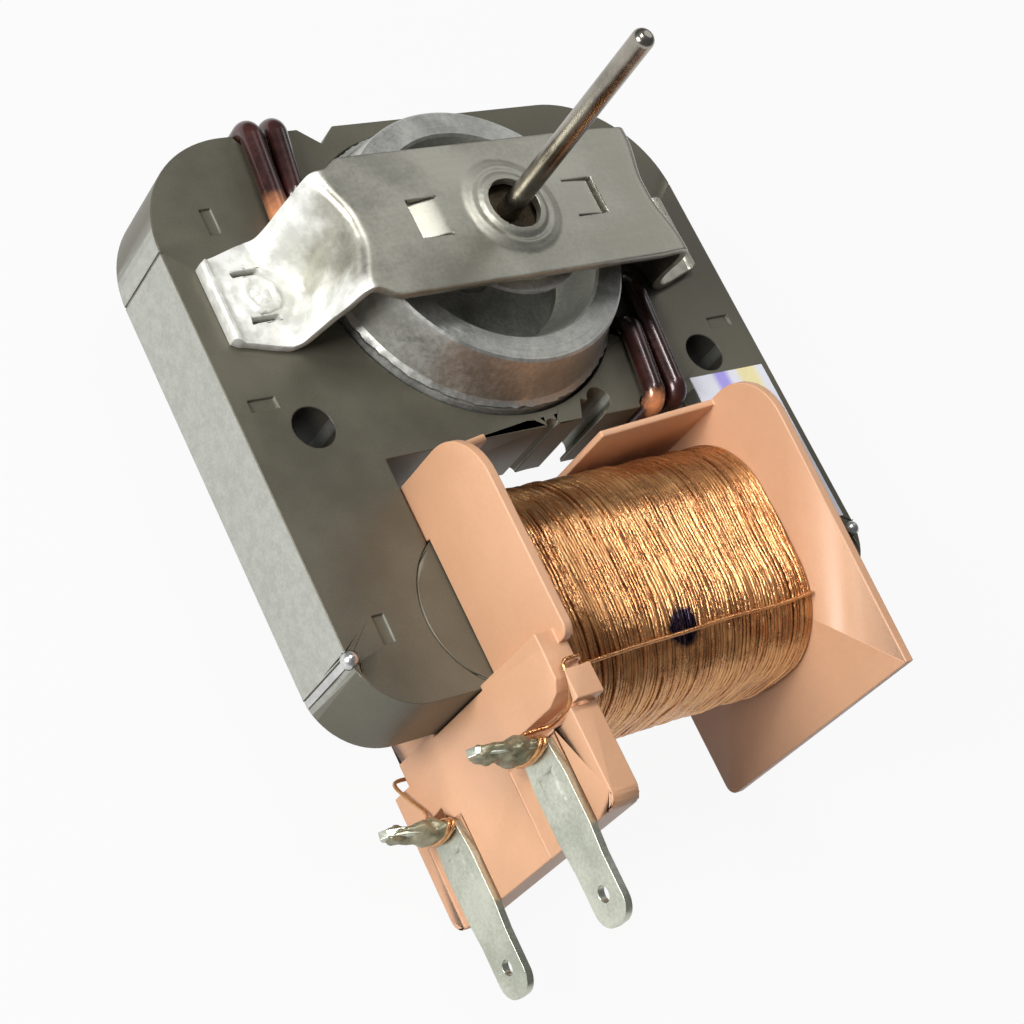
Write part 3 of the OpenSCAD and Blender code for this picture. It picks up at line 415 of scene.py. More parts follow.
def makeBracketMaterial():
    mat, tree, shader, mottle = mottledMaterial("zincSheet", zincLook)
    lines = placeGroup(tree, drawLinesGroup, (-4, 3), {"Stretch": (120.0, 2600.0, 2600.0), "Strength": 0.7})
    shade = mixColours(tree, lines.outputs["Mask"], (0.62, 0.61, 0.55), (0.98, 0.98, 0.95), (-2, 2))
    worn = addNode(tree, "ShaderNodeMix", (-1, 1), {"Factor": 0.5}, data_type="RGBA", blend_type="MULTIPLY")
    join(tree, mottle.outputs["Color"], worn.inputs["A"])
    join(tree, shade, worn.inputs["B"])
    # painted highlight: from a ragged line near x = -20 mm outwards the left foot is given a pale, rougher, less
    # metallic finish, standing in for the light that falls on it; the right foot keeps the plain zinc
    coord = addNode(tree, "ShaderNodeTexCoord", (-8, 5))
    split = addNode(tree, "ShaderNodeSeparateXYZ", (-7, 5))
    away = addNode(tree, "ShaderNodeMath", (-6, 5), {1: -1.0}, operation="MULTIPLY")
    rag = addNode(tree, "ShaderNodeTexNoise", (-6, 6), {"Scale": 380.0, "Detail": 5.0})
    wave = addNode(tree, "ShaderNodeMath", (-5, 6), {1: 3.4 * mm}, operation="MULTIPLY")
    edge = addNode(tree, "ShaderNodeMath", (-4, 5), operation="ADD")
    leftHighlightMask = addNode(
        tree,
        "ShaderNodeMapRange",
        (-3, 5),
        {"From Min": (leftHighlightAndRingLook["from"] + 1.7) * mm, "From Max": (leftHighlightAndRingLook["to"] + 1.7) * mm},
        interpolation_type="SMOOTHSTEP",
    )
    join(tree, coord.outputs["Object"], split.inputs["Vector"])
    join(tree, split.outputs["X"], away.inputs[0])
    join(tree, coord.outputs["Object"], rag.inputs["Vector"])
    join(tree, rag.outputs["Fac"], wave.inputs[0])
    join(tree, away.outputs["Value"], edge.inputs[0])
    join(tree, wave.outputs["Value"], edge.inputs[1])
    join(tree, edge.outputs["Value"], leftHighlightMask.inputs["Value"])
    highlightPatches = placeGroup(
        tree,
        mottleGroup,
        (-4, 10),
        {
            "Dark": (*leftHighlightAndRingLook["shadow"], 1),
            "Light": (*leftHighlightAndRingLook["colour"], 1),
            "Cloud Size": 330.0,
            "Grain Size": 1100.0,
            "Grain Share": 0.25,
        },
    )
    colour = mixColours(tree, leftHighlightMask.outputs["Result"], worn.outputs["Result"], highlightPatches.outputs["Color"], (0, 1))
    join(tree, colour, shader.inputs["Base Color"])
    # the painted highlight also sets roughness and metal
    for socket, before, after in (("Roughness", mottle.outputs["Roughness"], "rough"), ("Metallic", None, "metal")):
        blend = addNode(tree, "ShaderNodeMix", (0, 4), {"A": zincLook["metal"], "B": leftHighlightAndRingLook[after]}, data_type="FLOAT")
        if before:
            join(tree, before, blend.inputs["A"])
        join(tree, leftHighlightMask.outputs["Result"], blend.inputs["Factor"])
        join(tree, blend.outputs["Result"], shader.inputs[socket])
    # fine rings pressed round the boss
    centred = addNode(tree, "ShaderNodeVectorMath", (-7, 8), {1: (0, shaftRise * mm, 0)}, operation="SUBTRACT")
    flat = addNode(tree, "ShaderNodeVectorMath", (-6, 8), {1: (1000, 1000, 0)}, operation="MULTIPLY")
    radius = addNode(tree, "ShaderNodeVectorMath", (-5, 8), operation="LENGTH")
    rings = addNode(tree, "ShaderNodeMath", (-4, 8), {1: 7.6}, operation="MULTIPLY")
    wavy = addNode(tree, "ShaderNodeMath", (-3, 8), operation="SINE")
    near = addNode(
        tree,
        "ShaderNodeMapRange",
        (-3, 9),
        {"From Min": leftHighlightAndRingLook["ringFrom"], "From Max": leftHighlightAndRingLook["ringTo"], "To Min": 0.0, "To Max": 1.0},
        interpolation_type="SMOOTHSTEP",
    )
    ridge = addNode(tree, "ShaderNodeMath", (-2, 8), operation="MULTIPLY")
    both = addNode(tree, "ShaderNodeMath", (-1, 8), operation="ADD")
    join(tree, coord.outputs["Object"], centred.inputs[0])
    join(tree, centred.outputs["Vector"], flat.inputs[0])
    join(tree, flat.outputs["Vector"], radius.inputs[0])
    join(tree, radius.outputs["Value"], rings.inputs[0])
    join(tree, rings.outputs["Value"], wavy.inputs[0])
    join(tree, radius.outputs["Value"], near.inputs["Value"])
    join(tree, wavy.outputs["Value"], ridge.inputs[0])
    join(tree, near.outputs["Result"], ridge.inputs[1])
    join(tree, ridge.outputs["Value"], both.inputs[0])
    join(tree, mottle.outputs["Height"], both.inputs[1])
    bumpFrom(tree, shader, both.outputs["Value"], 0.28, 0.00008, (0, 8))
    return mat


def makeCastMaterial():
    # as cast, with fine turned rings on the faces square to the shaft
    mat, tree, shader, mottle = mottledMaterial("castAluminium", castLook)
    coord = addNode(tree, "ShaderNodeTexCoord", (-8, 5))
    centred = addNode(tree, "ShaderNodeVectorMath", (-7, 5), {1: (0, shaftRise * mm, 0)}, operation="SUBTRACT")
    flat = addNode(tree, "ShaderNodeVectorMath", (-6, 5), {1: (1, 1, 0)}, operation="MULTIPLY")
    radius = addNode(tree, "ShaderNodeVectorMath", (-5, 5), operation="LENGTH")
    turned = addNode(
        tree, "ShaderNodeTexNoise", (-4, 5), {"Scale": 3200.0, "Detail": 3.0}, noise_dimensions="1D")
    square = placeGroup(tree, sideMaskGroup, (-4, 7), {"Direction": (0, 0, 1), "From": 0.8, "To": 0.98})
    marks = addNode(tree, "ShaderNodeMath", (-3, 5), operation="MULTIPLY")
    both = addNode(tree, "ShaderNodeMath", (-2, 5), operation="ADD")
    join(tree, coord.outputs["Object"], centred.inputs[0])
    join(tree, centred.outputs["Vector"], flat.inputs[0])
    join(tree, flat.outputs["Vector"], radius.inputs[0])
    join(tree, radius.outputs["Value"], turned.inputs["W"])
    join(tree, turned.outputs["Fac"], marks.inputs[0])
    join(tree, square.outputs["Mask"], marks.inputs[1])
    join(tree, marks.outputs["Value"], both.inputs[0])
    join(tree, mottle.outputs["Height"], both.inputs[1])
    bumpFrom(tree, shader, both.outputs["Value"], 0.3, 0.00012, (0, 6))
    return mat


windingLook = {
    "deep": (0.3, 0.09, 0.03),
    "bright": (0.92, 0.53, 0.22),
    "strandRough": (0.2, 0.34),
    "inkPoint": (0.6, -29.3, 5.2),
    "ink": (0.012, 0.004, 0.02),
}


def makeWireMaterial(name, withInk):
    mat, tree, shader = newMaterial(name, rough=0.26, metal=0.85, **{"Coat Weight": 0.35, "Coat Roughness": 0.15})
    mottle = placeGroup(
        tree,
        mottleGroup,
        (-5, 0),
        {
            "Dark": (*windingLook["deep"], 1),
            "Light": (*windingLook["bright"], 1),
            "Cloud Size": 260.0,
            "Grain Size": 700.0,
            "Grain Share": 0.3,
            "Rough Low": windingLook["strandRough"][0],
            "Rough High": windingLook["strandRough"][1],
        },
    )
    streaks = placeGroup(tree, drawLinesGroup, (-5, 4), {"Stretch": (2800.0, 170.0, 170.0), "Strength": 1.6})
    tone = mixColours(tree, streaks.outputs["Mask"], windingLook["deep"], windingLook["bright"], (-3, 3))
    colour = mixColours(tree, 0.3, tone, mottle.outputs["Color"], (-3, 1))
    bumpFrom(tree, shader, streaks.outputs["Height"], 0.55, 0.00045, (-1, 5))
    if withInk:
        spot = placeGroup(
            tree,
            nearMaskGroup,
            (-5, 2),
            {
                "Point": tuple(v * mm for v in windingLook["inkPoint"]),
                "Squash": (1.0, 1.0, 0.4),
                "Inner": 0.0015,
                "Outer": 0.0021,
                "Ragged": 0.0012,
            },
        )
        colour = mixColours(tree, spot.outputs["Mask"], colour, windingLook["ink"], (-2, 1))
    join(tree, colour, shader.inputs["Base Color"])
    join(tree, mottle.outputs["Roughness"], shader.inputs["Roughness"])
    return mat


labelLook = {
    "paper": (0.82, 0.82, 0.9),
    "violet": (0.42, 0.36, 0.85),
    "cream": (0.9, 0.8, 0.42),
    "topY": -2.6,
    "leftX": 20.5,
}


def makeLabelMaterial():
    mat, tree, shader = newMaterial("labelPaper", rough=0.35, colour=labelLook["paper"])
    coord = addNode(tree, "ShaderNodeTexCoord", (-6, 0))
    split = addNode(tree, "ShaderNodeSeparateXYZ", (-5, 0))
    join(tree, coord.outputs["Object"], split.inputs["Vector"])

    def band(axis, low, high, place):
        above = addNode(tree, "ShaderNodeMapRange", place, {"From Min": (low - 0.4) * mm, "From Max": (low + 0.4) * mm})
        below = addNode(
            tree,
            "ShaderNodeMapRange",
            (place[0], place[1] + 1),
            {"From Min": (high - 0.4) * mm, "From Max": (high + 0.4) * mm, "To Min": 1.0, "To Max": 0.0},
        )
        both = addNode(tree, "ShaderNodeMath", (place[0] + 1, place[1]), operation="MULTIPLY")
        join(tree, split.outputs[axis], above.inputs["Value"])
        join(tree, split.outputs[axis], below.inputs["Value"])
        join(tree, above.outputs["Result"], both.inputs[0])
        join(tree, below.outputs["Result"], both.inputs[1])
        return both.outputs["Value"]

    violetBand = band("X", labelLook["leftX"] + 3.2, labelLook["leftX"] + 5.0, (-4, 0))
    creamBand = band("X", labelLook["leftX"] + 6.4, labelLook["leftX"] + 9.0, (-4, 3))
    topBand = band("Y", labelLook["topY"] - 4.2, labelLook["topY"] + 1.0, (-4, 6))
    creamPatch = addNode(tree, "ShaderNodeMath", (-2, 4), operation="MULTIPLY")
    join(tree, creamBand, creamPatch.inputs[0])
    join(tree, topBand, creamPatch.inputs[1])
    first = mixColours(tree, violetBand, labelLook["paper"], labelLook["violet"], (-2, 0))
    second = mixColours(tree, creamPatch.outputs["Value"], first, labelLook["cream"], (-1, 0))
    fibre = placeGroup(tree, mottleGroup, (-4, 9), {"Dark": (0.93, 0.93, 0.93, 1), "Light": (1, 1, 1, 1)})
    paper = addNode(tree, "ShaderNodeMix", (0, 2), {"Factor": 1.0}, data_type="RGBA", blend_type="MULTIPLY")
    join(tree, second, paper.inputs["A"])
    join(tree, fibre.outputs["Color"], paper.inputs["B"])
    join(tree, paper.outputs["Result"], shader.inputs["Base Color"])
    bumpFrom(tree, shader, fibre.outputs["Height"], 0.1, 0.00003)
    return mat


stackMaterial = makeStackMaterial()
plasticMaterial = mottledMaterial("mouldedPlastic", plasticLook)[0]
bracketMaterial = makeBracketMaterial()
castMaterial = makeCastMaterial()
tinMaterial = mottledMaterial("tinnedBrass", tinLook)[0]
solderMaterial = mottledMaterial("solder", solderLook)[0]
ringMaterial = makeRingMaterial()
steelMaterial = mottledMaterial("groundSteel", steelLook)[0]
rotorMaterial = mottledMaterial("rotorSteel", rotorLook)[0]
bronzeMaterial = mottledMaterial("sinteredBronze", bronzeLook)[0]
feltMaterial = mottledMaterial("oilFelt", feltLook)[0]
springMaterial = mottledMaterial("springSteel", springLook)[0]
washerMaterial = mottledMaterial("washerPlastic", washerLook)[0]
strandMaterial = makeWireMaterial("enamelledWire", True)
leadMaterial = makeWireMaterial("enamelledLead", False)
labelMaterial = makeLabelMaterial()
print("materials made")


# small helpers for meshes

def newPiece(name, bm, material, smoothAngle=None):
    mesh = bpy.data.meshes.new(name)
    bm.normal_update()
    bm.to_mesh(mesh)
    bm.free()
    piece = bpy.data.objects.new(name, mesh)
    bpy.context.scene.collection.objects.link(piece)
    mesh.materials.append(material)
    for face in mesh.polygons:
        face.use_smooth = True
    if smoothAngle is not None:
        mesh.set_sharp_from_angle(angle=math.radians(smoothAngle))
    return piece


def paint(nodeName, material, slot=None):
    piece = nodes[nodeName]
    piece.data.materials.clear()
    piece.data.materials.append(material)
    return piece


def softCopy(nodeName, pieceName, material, width, segments=2, angle=35):
    # a copy of a hard-edged piece with its edges rounded over
    bm = bmesh.new()
    bm.from_mesh(nodes[nodeName].data)
    bmesh.ops.remove_doubles(bm, verts=bm.verts, dist=2e-6)
    piece = newPiece(pieceName, bm, material, 30)
    bevel = piece.modifiers.new("roundedEdges", "BEVEL")
    bevel.width = width * mm
    bevel.segments = segments
    bevel.limit_method = "ANGLE"
    bevel.angle_limit = math.radians(angle)
    bevel.use_clamp_overlap = False
    bevel.harden_normals = True
    return piece


def tube(bm, points, radius, sides=8, closed=False, radii=None):
    # a round wire swept along a list of points
    count = len(points)
    rings = []
    side = Vector((0.31, 0.52, 0.79))
    for i, point in enumerate(points):
        if closed:
            heading = points[(i + 1) % count] - points[i - 1]
        else:
            heading = points[min(i + 1, count - 1)] - points[max(i - 1, 0)]
        heading = heading.normalized()
        side = (side - side.dot(heading) * heading).normalized()
        up = heading.cross(side)
        r = radii[i] if radii else radius
        rings.append([
            bm.verts.new(point + r * (math.cos(k * 2 * pi / sides) * side + math.sin(k * 2 * pi / sides) * up))
            for k in range(sides)
        ])
    last = count if closed else count - 1
    for i in range(last):
        a = rings[i]
        b = rings[(i + 1) % count]
        shift = 0
        if closed and i == count - 1:
            gaps = [sum((a[k].co - b[(k + s) % sides].co).length for k in range(sides)) for s in range(sides)]
            shift = gaps.index(min(gaps))
        for k in range(sides):
            bm.faces.new((a[k], a[(k + 1) % sides], b[(k + 1 + shift) % sides], b[(k + shift) % sides]))
    if not closed:
        bm.faces.new(list(reversed(rings[0])))
        bm.faces.new(rings[-1])


def curvePoints(points, steps=6):
    # a smooth curve through a few points
    out = []
    for i in range(len(points) - 1):
        p0 = points[max(i - 1, 0)]
        p1 = points[i]
        p2 = points[i + 1]
        p3 = points[min(i + 2, len(points) - 1)]
        for s in range(steps):
            t = s / steps
            out.append(
                0.5 * ((2 * p1) + (p2 - p0) * t + (2 * p0 - 5 * p1 + 4 * p2 - p3) * t * t
                       + (3 * p1 - p0 - 3 * p2 + p3) * t * t * t)
            )
    out.append(points[-1].copy())
    return out


def lathe(bm, profile, steps, centre, shake=None):
    # turns a closed profile of (radius, z) about the shaft; shake moves each point a little
    rings = []
    for k in range(steps):
        angle = 2 * pi * k / steps
        ring = []
        for i, (r, z) in enumerate(profile):
            dr, dz = shake(i, r, z, angle) if shake else (0, 0)
            ring.append(bm.verts.new(Vector((
                centre[0] + (r + dr) * math.cos(angle),
                centre[1] + (r + dr) * math.sin(angle),
                centre[2] + z + dz,
            )) * mm))
        rings.append(ring)
    for k in range(steps):
        a = rings[k]
        b = rings[(k + 1) % steps]
        for i in range(len(profile)):
            j = (i + 1) % len(profile)
            bm.faces.new((a[i], b[i], b[j], a[j]))


# stack and coil core

stackPiece = softCopy("stator_core", "laminationStack", stackMaterial, 0.12)
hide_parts("stator_core")
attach(stackPiece, "stator")
corePiece = softCopy("coil_core", "coilCoreBar", stackMaterial, 0.12)
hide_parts("coil_core")
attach(corePiece, "stator")
paint("seam_welds", springMaterial)
print("stack done")


# bobbin and terminals

bobbinPiece = softCopy("bobbin", "mouldedBobbin", plasticMaterial, 0.16, 3, 30)
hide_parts("bobbin")
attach(bobbinPiece, "stator")

for nodeName, pieceName in (("front_terminal", "frontBlade"), ("rear_terminal", "rearBlade")):
    blade = softCopy(nodeName, pieceName, tinMaterial, 0.1, 2, 30)
    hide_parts(nodeName)
    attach(blade, "stator")

solderSettings = {
    "root": (-20.0, -36.2),
    "tilt": 13,
    "bladeMid": (4.25, -13.75),
    "from": 0.7,
    "to": 6.9,
    "plate": 0.4,
    "halfWidth": (2.25, 0.75),
    "cover": 0.34,
}


def postFrame(z):
    # the middle line of a soldering post, with its directions
    tilt = math.radians(solderSettings["tilt"])
    along = Vector((-math.cos(tilt), math.sin(tilt), 0))
    up = Vector((math.sin(tilt), math.cos(tilt), 0))
    root = Vector((solderSettings["root"][0], solderSettings["root"][1], z)) - up * solderSettings["plate"]
    return root, along, up


def postHalfWidth(reach):
    wide, narrow = solderSettings["halfWidth"]
    return wide + (narrow - wide) * min(1.0, max(0.0, (reach - 0.4) / 6.2))


def makeSolder():
    s = solderSettings
    bm = bmesh.new()
    rows = 44
    sides = 30
    for number, z in enumerate(s["bladeMid"]):
        root, along, up = postFrame(z)
        rings = []
        for i in range(rows + 1):
            t = i / rows
            reach = s["from"] + (s["to"] - s["from"]) * t
            taper = math.sqrt(max(0.0, 1 - (2 * t - 1) ** 10))
            ring = []
            for k in range(sides):
                angle = 2 * pi * k / sides
                spot = Vector((reach * 0.8, math.cos(angle) * 1.2, math.sin(angle) * 1.2 + number * 7.3))
                lump = 0.5 * noise.noise(spot * 0.9) + 0.14 * noise.noise(spot * 2.3)
                thick = s["plate"] + s["cover"] + lump
                wide = postHalfWidth(reach) + s["cover"] * 0.7 + lump * 0.8
                heap = 0.35 * math.exp(-((reach - 2.6) / 1.1) ** 2)
                ring.append(bm.verts.new((
                    root + along * (reach + 0.25 * lump)
                    + up * math.cos(angle) * max(0.15, thick + heap) * taper
                    + Vector((0, 0, 1)) * math.sin(angle) * max(0.3, wide) * taper
                ) * mm))
            rings.append(ring)
        for i in range(rows):
            for k in range(sides):
                m = (k + 1) % sides
                bm.faces.new((rings[i][k], rings[i][m], rings[i + 1][m], rings[i + 1][k]))
        bm.faces.new(list(reversed(rings[0])))
        bm.faces.new(rings[-1])
    bmesh.ops.recalc_face_normals(bm, faces=bm.faces)
    return newPiece("solderLumps", bm, solderMaterial)


solderPiece = makeSolder()
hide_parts("solder_joints")
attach(solderPiece, "stator")
print("bobbin and terminals done")


# winding

windingSettings = {
    "halfLength": 17.0,
    "top": -9.5,
    "bottom": -34.4,
    "front": 5.6,
    "back": -15.1,
    "cornerRadius": 8.7,
    "wire": 0.36,
    "turns": 94,
    "crossing": 46,
    "pointsRound": 84,
    "sides": 6,
}


def coilLoop(inset):
    # points round the coil with their outward directions, evenly spaced
    s = windingSettings
    r = s["cornerRadius"] - inset
    low = (s["bottom"] + inset + r, s["back"] + inset + r)
    high = (s["top"] - inset - r, s["front"] - inset - r)
    corners = [((high[0], high[1]), 0), ((high[0], low[1]), 270), ((low[0], low[1]), 180), ((low[0], high[1]), 90)]
    outline = []
    for (y, z), start in corners:
        for k in range(25):
            a = math.radians(start + 90 - k * 90 / 24)
            outline.append(((y + r * math.cos(a), z + r * math.sin(a)), (math.cos(a), math.sin(a))))
    lengths = [0.0]
    for i in range(len(outline)):
        a = outline[i][0]
        b = outline[(i + 1) % len(outline)][0]
        lengths.append(lengths[-1] + math.hypot(b[0] - a[0], b[1] - a[1]))
    total = lengths[-1]
    loop = []
    j = 0
    for k in range(s["pointsRound"]):
        want = total * k / s["pointsRound"]
        while lengths[j + 1] < want:
            j += 1
        share = (want - lengths[j]) / max(lengths[j + 1] - lengths[j], 1e-9)
        a = outline[j]
        b = outline[(j + 1) % len(outline)]
        point = [a[0][i] + share * (b[0][i] - a[0][i]) for i in (0, 1)]
        out = [a[1][i] + share * (b[1][i] - a[1][i]) for i in (0, 1)]
        size = math.hypot(*out)
        loop.append((point, [out[0] / size, out[1] / size]))
    return loop


def makeWinding():
    s = windingSettings
    rng = random.Random(11)
    bm = bmesh.new()
    wire = s["wire"] / 2
    loop = coilLoop(wire + 0.1)
    count = len(loop)

    def addTurn(x0, drift, lift, seed, radius):
        points = []
        for k, (point, out) in enumerate(loop):
            turn = 2 * pi * k / count
            wander = 0.16 * noise.noise(Vector((seed, 2.2 * math.cos(turn), 2.2 * math.sin(turn))))
            wander += 0.35 * noise.noise(Vector((x0 * 0.16, 1.3 * math.cos(turn) + 7, 1.3 * math.sin(turn))))
            x = x0 + wander + drift * math.sin(turn + seed)
            x = max(-s["halfLength"] + wire, min(s["halfLength"] - wire, x))
            rise = lift + 0.13 * noise.noise(Vector((x0 * 0.9, 3 * math.cos(turn), 3 * math.sin(turn) + seed)))
            points.append(Vector((x, point[0] + out[0] * rise, point[1] + out[1] * rise)) * mm)
        tube(bm, points, radius * mm, s["sides"], closed=True)

    for i in range(s["turns"]):
        x0 = -s["halfLength"] + wire + (2 * s["halfLength"] - 2 * wire) * i / (s["turns"] - 1)
        addTurn(x0, 0.0, 0.0, i * 0.37, wire)
    for i in range(s["crossing"]):
        x0 = rng.uniform(-s["halfLength"] + 0.6, s["halfLength"] - 0.6)
        addTurn(x0, rng.uniform(-0.7, 0.7), rng.uniform(0.08, 0.18), rng.uniform(0, 90), wire)
    # a plain body under the turns
    under = coilLoop(wire + 0.2)
    ends = []
    for x in (-s["halfLength"], s["halfLength"]):
        ends.append([bm.verts.new(Vector((x, p[0], p[1])) * mm) for p, out in under])
    for k in range(count):
        m = (k + 1) % count
        bm.faces.new((ends[0][k], ends[1][k], ends[1][m], ends[0][m]))
    bm.faces.new(ends[0])
    bm.faces.new(list(reversed(ends[1])))
    return newPiece("copperWinding", bm, strandMaterial)


windingPiece = makeWinding()
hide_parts("winding")
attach(windingPiece, "stator")

leadSettings = {
    "wire": 0.2,
    "startRoute": [
        (16.6, -29.6, 5.1), (12.0, -29.9, 5.15), (6.0, -29.8, 5.2), (0.0, -30.0, 5.2), (-6.0, -30.1, 5.3),
        (-12.0, -30.4, 5.6), (-15.4, -30.9, 7.4), (-16.6, -31.2, 10.2), (-17.6, -31.3, 11.2), (-19.1, -31.5, 11.2),
        (-19.2, -33.2, 10.9), (-19.2, -34.7, 9.6), (-19.2, -35.05, 7.6), (-19.3, -35.05, 5.8),
        (-20.4, -34.9, 5.2), (-21.6, -34.9, 4.9), (-22.6, -35.5, 4.6),
    ],
    "finishRoute": [
        (-9.0, -28.0, -15.0), (-12.5, -29.0, -15.4), (-15.6, -29.4, -16.6), (-17.6, -29.4, -18.1),
        (-20.6, -29.4, -18.1), (-20.8, -31.4, -17.0), (-20.7, -33.6, -15.4), (-21.6, -34.9, -14.4),
        (-22.6, -35.5, -13.9),
    ],
}


def wrapRound(z, reachFrom, reachTo, turns):
    # a few turns of wire round a soldering post
    root, along, up = postFrame(z)
    points = []
    count = int(turns * 14)
    for i in range(count + 1):
        t = i / count
        angle = 2 * pi * turns * t
        reach = reachFrom + (reachTo - reachFrom) * t
        points.append(
            root + along * reach + up * math.cos(angle) * 0.86
            + Vector((0, 0, 1)) * math.sin(angle) * (postHalfWidth(reach) + 0.42)
        )
    return points


def makeLeads():
    pieces = []
    for name, key, node in (("startLeadWire", "startRoute", "start_lead"), ("finishLeadWire", "finishRoute", "finish_lead")):
        bm = bmesh.new()
        route = curvePoints([Vector(p) * mm for p in leadSettings[key]], 6)
        tube(bm, route, leadSettings["wire"] * mm, 8)
        post = solderSettings["bladeMid"][0 if key == "startRoute" else 1]
        tube(bm, [p * mm for p in wrapRound(post, 0.9, 1.7, 2.0)], leadSettings["wire"] * mm, 8)
        piece = newPiece(name, bm, leadMaterial)
        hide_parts(node)
        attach(piece, "stator")
        pieces.append(piece)
    return pieces


leadPieces = makeLeads()
print("winding done")


# shading rings

for nodeName in (
    "upper_outer_shading_ring", "upper_inner_shading_ring", "lower_outer_shading_ring", "lower_inner_shading_ring",
):
    paint(nodeName, ringMaterial)


# brackets

bracketSettings = {
    "top": 11.0,
    "sheet": 1.0,
    "rivetX": 24.1,
    "crest": {-1: (18.3, 1.75), 1: (17.5, 1.0)},
    "base": {-1: (19.4, 2.9), 1: (19.2, 2.7)},
    "crestHalf": {-1: 6.5, 1: 7.5},
    "bridgeHalf": 7.65,
    "footHalf": 5.85,
    "endHalf": 4.5,
    "endX": {-1: 28.85, 1: 28.0},
    "boss": [(2.8, 0.55), (3.1, 0.6), (3.45, 0.46), (3.8, 0.25), (4.05, 0.28), (4.3, 0.35), (4.8, 0.2), (5.5, 0.0)],
    "holeRadius": 2.8,
    "tabs": {-1: (8.1, 3.0, 0.5, 0.85), 1: (7.2, 3.2, 0.5, 0.32)},
    "tabHalf": 2.0,
    "slotY": 2.55,
    "slot": (3.0, 0.62),
    "across": 60,
}


def smoothStep(a, b, x):
    t = min(1.0, max(0.0, (x - a) / (b - a)))
    return t * t * (3 - 2 * t)


def bossRise(x, y):
    r = math.hypot(x, y)
    points = bracketSettings["boss"]
    if r >= points[-1][0]:
        return 0.0
    if r <= points[0][0]:
        return points[0][1]
    for (r0, z0), (r1, z1) in zip(points, points[1:]):
        if r <= r1:
            return z0 + (z1 - z0) * smoothStep(r0, r1, r)


def footRise(x, y):
    # the round seat of the rivet, pressed up a little, and small dents round it
    r = math.hypot(abs(x) - bracketSettings["rivetX"], y)
    seat = 0.16 * (1 - smoothStep(3.0, 3.5, r))
    return seat + 0.05 * noise.noise(Vector((x * 0.9, y * 0.9, 4.0)))


def bracketRow(v, side):
    # upper and lower points along one line of the strip, from the outer end of a foot to the middle
    s = bracketSettings
    crestHalf = s["crestHalf"][side]
    endX = s["endX"][side]
    y = abs(v) * crestHalf
    crest = s["crest"][side][0] + s["crest"][side][1] * smoothStep(0.8, 6.6, y)
    base = s["base"][side][0] + s["base"][side][1] * smoothStep(0.3, 5.6, y)
    low = 1.0
    top = s["top"]
    sheet = s["sheet"] * 0.96

    def half(x):
        t = smoothStep(endX + 0.3, base, x)
        rounded = s["endHalf"] + (s["footHalf"] - s["endHalf"]) * t
        return rounded - 0.35 * smoothStep(endX - 0.9, endX, x)

    rows = []
    for back, z in ((0.0, 0.85), (0.1, 1.25), (0.35, 1.44), (0.65, 1.42), (0.9, 1.18), (1.15, 1.0)):
        x = endX - back
        rows.append(((x, v * half(x), z), (x, v * half(x), low - sheet)))
    start = endX - 1.35
    foot = 16
    for i in range(foot + 1):
        x = start + (base + 1.2 - start) * i / foot
        rows.append(((x, v * half(x), low + footRise(x, v * half(x))), (x, v * half(x), low - sheet)))
    # fillet, wall and crest
    run = Vector((crest - base, 0, top - low)).normalized()
    corners = (
        (Vector((base + 1.2, 0, low)), Vector((base, 0, low)), Vector((base, 0, low)) + run * 1.2),
        (Vector((crest, 0, top)) - run * 1.1, Vector((crest, 0, top)), Vector((crest - 1.1, 0, top))),
    )
    wall = []
    for number, (a, b, c) in enumerate(corners):
        for i in range(1 if number == 0 else 0, 8):
            t = i / 7
            spot = a * (1 - t) ** 2 + b * 2 * t * (1 - t) + c * t * t
            heading = ((b - a) * (1 - t) + (c - b) * t).normalized()
            wall.append((spot, Vector((heading.z, 0, -heading.x))))
        if number == 0:
            for i in range(1, 11):
                wall.append((c.lerp(corners[1][0], i / 11), Vector((run.z, 0, -run.x))))
    for spot, outward in wall:
        share = smoothStep(low, top, spot.z)
        width = s["footHalf"] + (crestHalf - s["footHalf"]) * share
        dent = 0.14 * noise.noise(Vector((v * 3.0, spot.z * 0.45, side * 5.0))) * math.sin(pi * share)
        under = spot - outward * sheet
        rows.append(((spot.x + dent, v * width, spot.z), (under.x + dent, v * width, under.z)))
    inner = rows[-1][0][0]
    rowsInside = 54
    for i in range(1, rowsInside + 1):
        x = inner * (1 - i / rowsInside)
        width = crestHalf + (s["bridgeHalf"] - crestHalf) * smoothStep(0.0, 2.6, inner - x)
        rise = bossRise(x, v * width)
        rows.append(((x, v * width, top + rise), (x, v * width, top - sheet + rise)))
    return rows


